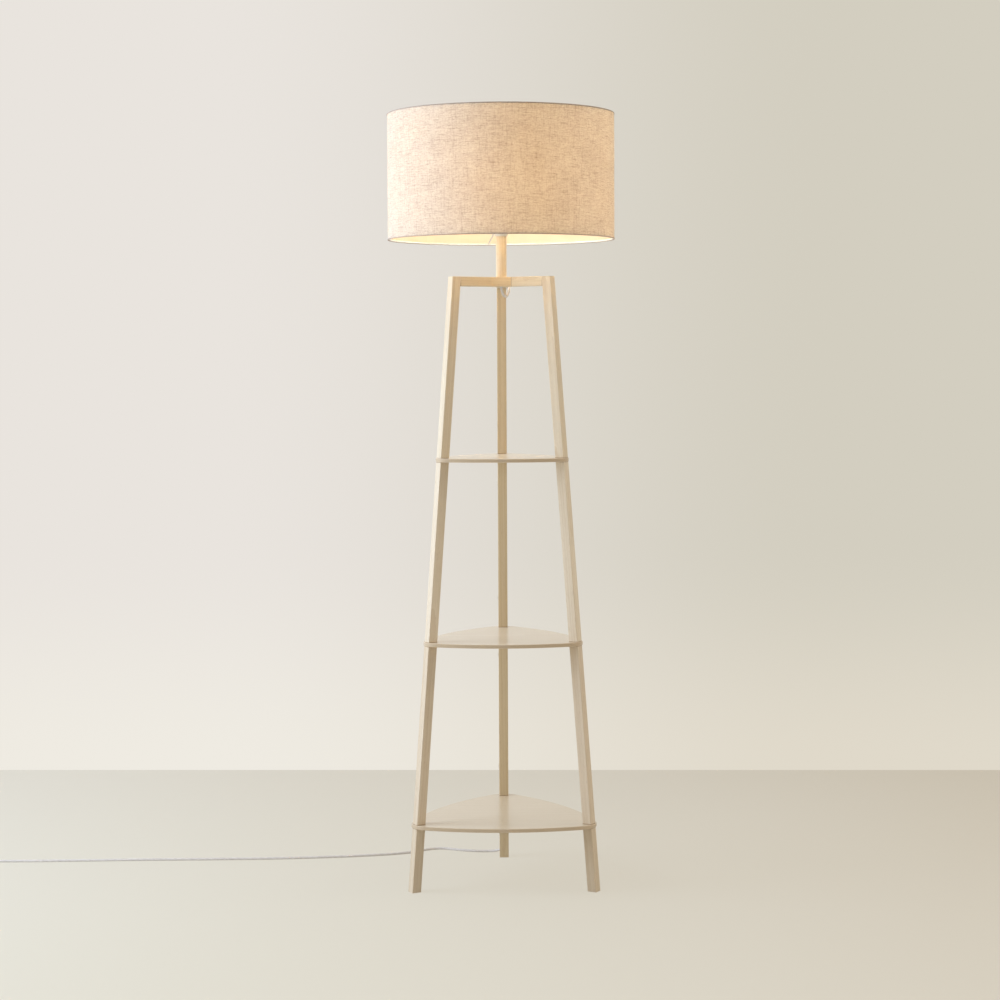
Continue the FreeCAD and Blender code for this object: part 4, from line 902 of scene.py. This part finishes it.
def add_lampholder(stem_wood):
    white = smooth_material("holder_white", srgb(240, 238, 231), 0.32, grain=0.03, coat=0.2, seed=51.0)
    shell = smooth_material("socket_shell", srgb(186, 186, 184), 0.3, 1.0, 0.03, seed=52.0)
    radius = stem_high.x
    bore = 5.15 * MM
    ease = 0.8 * MM
    stem = lathe("stem_turned", rounded([(bore, stem_low.z), (radius, stem_low.z), (radius, stem_high.z),
                                         (bore, stem_high.z)], ease), stem_wood)
    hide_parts("stem")
    base = cap_low.z
    full = cap_high.x
    neck = 13.0 * MM
    outline = [(bore, base), (neck, base), (neck, base + 6 * MM)]
    for step in range(1, 13):
        turn = math.radians(90 * step / 12)
        outline.append((neck + (full - neck) * (1 - math.cos(turn)), base + 6 * MM + 8 * MM * math.sin(turn)))
    outline += [(full, cap_high.z), (full - 2 * MM, cap_high.z), (full - 2 * MM, base + 14.5 * MM),
                (neck - 2 * MM, base + 9 * MM), (bore, base + 9 * MM)]
    cap = lathe("holder_cap_moulded", rounded(outline, 0.5 * MM), white)
    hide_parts("holder_cap")
    low, high = body_low.z, body_high.z
    lip = body_high.x
    fitter = nut_low.z - 1.5 * MM
    core = full - 0.2 * MM
    well = full - 2 * MM
    throat = screw_high.x + 0.15 * MM
    ledge = low + 6.5 * MM
    outline = [
        (well, low), (full, low), (lip, fitter - 1.2 * MM), (lip, fitter), (core, fitter),
        (core, fitter + 2 * MM), (core - 0.9 * MM, fitter + 2.4 * MM), (core - 0.9 * MM, high - 2 * MM),
        (core, high - 1.6 * MM), (core - 0.4 * MM, high), (throat, high), (throat, ledge), (well, ledge)]
    body = lathe("holder_body_moulded", rounded(outline, 0.3 * MM), white)
    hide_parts("holder_body")
    thread = threaded("holder_body_thread", core, 0.8 * MM, 2.4 * MM, fitter + 2.2 * MM, high - 1.8 * MM,
                      white)
    socket = threaded("socket_screw_shell", screw_high.x, 0.7 * MM, 3.6 * MM, screw_low.z, screw_high.z,
                      shell, wall=0.4 * MM)
    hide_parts("screw_shell")
    add_shade_nut(white)
    add_knob()


def add_shade_nut(white):
    """The ring that clamps the shade's fitter, with grip ribs round its rim."""
    low, high = nut_low.z, nut_high.z
    flange = nut_high.x
    inner = cap_high.x
    grip = flange - 2.0 * MM
    segments = 240
    profile = rounded([(inner, low), (flange, low), (flange, low + 2.5 * MM), (grip, low + 3.3 * MM),
                       (grip, high - 0.6 * MM), (grip - 0.8 * MM, high), (inner, high)], 0.35 * MM)
    vertices = []
    for radius, z in profile:
        ribbed = radius > grip - 0.5 * MM and low + 3.0 * MM < z < high
        for step, angle in enumerate(turns(segments)):
            reach = radius - (0.45 * MM if ribbed and step % 6 in (0, 1) else 0.0)
            vertices.append(Vector((reach * math.cos(angle), reach * math.sin(angle), z)))
    nut = place_mesh("shade_nut_ribbed", vertices, grid_faces(len(profile), segments, True, True), white)
    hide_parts("shade_nut")


def add_knob():
    """A turn-key: a round collar that waists into a flat ribbed paddle."""
    black = smooth_material("knob_black", srgb(40, 38, 37), 0.38, grain=0.04, coat=0.1, seed=61.0)
    start, end = knob_low.x, knob_high.x
    length = end - start
    middle = (knob_low.z + knob_high.z) / 2
    half = (knob_high.z - knob_low.z) / 2
    thin = 2.5 * MM
    collar = 6.0 * MM
    sections = [(0.0, collar * 0.93, collar * 0.93, 2.0), (0.02, collar, collar, 2.0),
                (0.17, collar, collar, 2.0), (0.21, collar * 0.97, collar * 0.9, 2.0),
                (0.27, collar * 0.86, thin * 1.5, 2.2), (0.33, collar * 0.84, thin * 1.08, 2.8)]
    for step in range(1, 14):
        share = step / 14
        station = 0.33 + 0.42 * share
        wide = collar * 0.84 + (half - collar * 0.84) * eased(share, 0, 1)
        groove = 0.22 * MM * (1 if step % 3 == 0 else 0)
        sections.append((station, wide, thin - groove, 3.6))
    for step in range(0, 9):
        turn = math.radians(90 * step / 9)
        sections.append((0.75 + 0.25 * math.sin(turn), half * math.cos(turn) ** 0.75 + 0.3 * MM,
                         thin * (0.35 + 0.65 * math.cos(turn) ** 0.5), 3.2))
    along_x = Matrix(((0, 0, 1, 0), (0, 1, 0, 0), (1, 0, 0, 0), (0, 0, 0, 1)))
    place = Matrix.Translation((start, 0, middle)) @ along_x
    stations = [(share * length, wide, thick, squareness, 0.0) for share, wide, thick, squareness in sections]
    knob = loft("switch_turn_key", stations, black, place, KEY_BODY)
    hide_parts("switch_knob")


# ---- floor, backdrop and light ----
WALL_DISTANCE = 1.1763
WALL_SLOPE = 0.0267
WALL_HEIGHT = 6.0
STUDIO_REACH = 9.0


def seen_rays(tree):
    """1 for the camera's rays and for those that gloss and clear materials send on, otherwise 0."""
    rays = add(tree, "LightPath")
    mirrored = arithmetic(tree, "MAXIMUM", rays.outputs["Is Glossy Ray"], rays.outputs["Is Transmission Ray"])
    return arithmetic(tree, "MAXIMUM", rays.outputs["Is Camera Ray"], mirrored)


def seen_flat(tree, shader, tone, share):
    """Shows a share of a backdrop's own flat tone to the camera and to reflections, whatever the lamps do."""
    flat = add(tree, "Emission", {"Color": tone, "Strength": 1.0})
    seen = arithmetic(tree, "MULTIPLY", seen_rays(tree), share)
    both = add(tree, "MixShader", {0: seen, 1: shader.outputs[0], 2: flat.outputs[0]})
    back = add(tree, "NewGeometry").outputs["Backfacing"]
    clear = add(tree, "BsdfTransparent").outputs[0]
    open_back = add(tree, "MixShader", {0: back, 1: both.outputs[0], 2: clear})
    tree.links.new(open_back.outputs[0], tree.nodes["Material Output"].inputs["Surface"])


def ground_material():
    material, tree, shader = new_material("studio_floor")
    place = add(tree, "SeparateXYZ", {0: object_coordinates(tree)})
    # Painted light: the floor lighter to the left and towards the camera, darker to the right and towards the
    # wall.
    across = remap(tree, place.outputs["X"], -1.2, 1.2)
    forward = remap(tree, place.outputs["Y"], 1.1, -1.5)
    left = blend_colours(tree, forward, srgb(223, 219, 208), srgb(234, 232, 219))
    right = blend_colours(tree, forward, srgb(205, 196, 179), srgb(219, 210, 193))
    tone = blend_colours(tree, across, left, right)
    fill(tree, shader, {"Base Color": tone, "Roughness": 0.85, "Specular IOR Level": 0.15})
    seen_flat(tree, shader, tone, 0.84)
    return material


def wall_material():
    """A backdrop that the camera and reflections see in flat tones, lighter to the left and lower down and
    darker to the right and higher up: painted light.
    """
    material, tree, shader = new_material("studio_wall")
    place = add(tree, "SeparateXYZ", {0: object_coordinates(tree)})
    across = remap(tree, place.outputs["X"], -0.75, 0.85, smooth=True)
    upward = remap(tree, place.outputs["Z"], 0.0, 0.6, smooth=True)
    low = blend_colours(tree, across, srgb(239, 235, 226), srgb(224, 217, 202))
    high = blend_colours(tree, across, srgb(233, 228, 222), srgb(211, 206, 192))
    tone = blend_colours(tree, upward, low, high)
    fill(tree, shader, {"Base Color": tone, "Roughness": 1.0})
    seen_flat(tree, shader, tone, 1.0)
    return material


def add_board(name, corners, material):
    mesh = bpy.data.meshes.new(name)
    mesh.from_pydata(corners, [], [(0, 1, 2, 3)])
    mesh.materials.append(material)
    return new_object(name, mesh)


def add_studio():
    far = STUDIO_REACH
    floor = add_board("studio_floor", [(-far, -far, 0), (far, -far, 0), (far, far, 0), (-far, far, 0)],
                      ground_material())
    left, right = [(x, WALL_DISTANCE - WALL_SLOPE * x) for x in (-far, far)]
    wall = add_board("studio_wall", [(*left, 0), (*right, 0), (*right, WALL_HEIGHT), (*left, WALL_HEIGHT)],
                     wall_material())


def add_soft_light(name, place, aim, size, power, colour):
    data = bpy.data.lights.new(name, "AREA")
    data.shape = "RECTANGLE"
    data.size, data.size_y = size
    data.energy = power
    data.color = colour
    light = new_object(name, data)
    light.location = place
    light.visible_camera = False
    light.visible_glossy = False
    light.rotation_euler = (Vector(aim) - Vector(place)).to_track_quat("-Z", "Y").to_euler()


def add_lights():
    add_soft_light("key_light", (-2.17, -0.36, 1.52), (0, 0, 1.12), (1.5, 1.9), 51.5, (0.84, 1.02, 1.32))
    add_soft_light("right_fill", (3.3, -0.1, 2.0), (0, 0, 1.0), (1.6, 1.6), 29.0, (1.0, 0.96, 0.92))
    # What the lit shade throws out of its open bottom, below the lampholder that hides the bulb.
    add_soft_light("shade_glow_down", (0, 0, SHADE_BOTTOM + 0.004), (0, 0, 0.5), (0.34, 0.34), 0.2,
                   (1.0, 0.68, 0.32))
    world = bpy.data.worlds.new("studio")
    world.use_nodes = True
    tree = world.node_tree
    around = tree.nodes["Background"]
    fill(tree, around, {"Color": srgb(255, 249, 240), "Strength": 0.51})
    backdrop = add(tree, "Background", {"Color": srgb(226, 221, 210), "Strength": 1.0})
    both = add(tree, "MixShader", {0: seen_rays(tree), 1: around.outputs[0], 2: backdrop.outputs[0]})
    tree.links.new(both.outputs[0], tree.nodes["World Output"].inputs["Surface"])
    bpy.context.scene.world = world


add_camera()
add_lead()
add_clips()
stem_wood = finish_wood()
finish_hardware()
add_shade()
add_shade_frame()
add_bulb()
add_lampholder(stem_wood)
add_studio()
add_lights()
bpy.context.scene.view_settings.view_transform = "Standard"
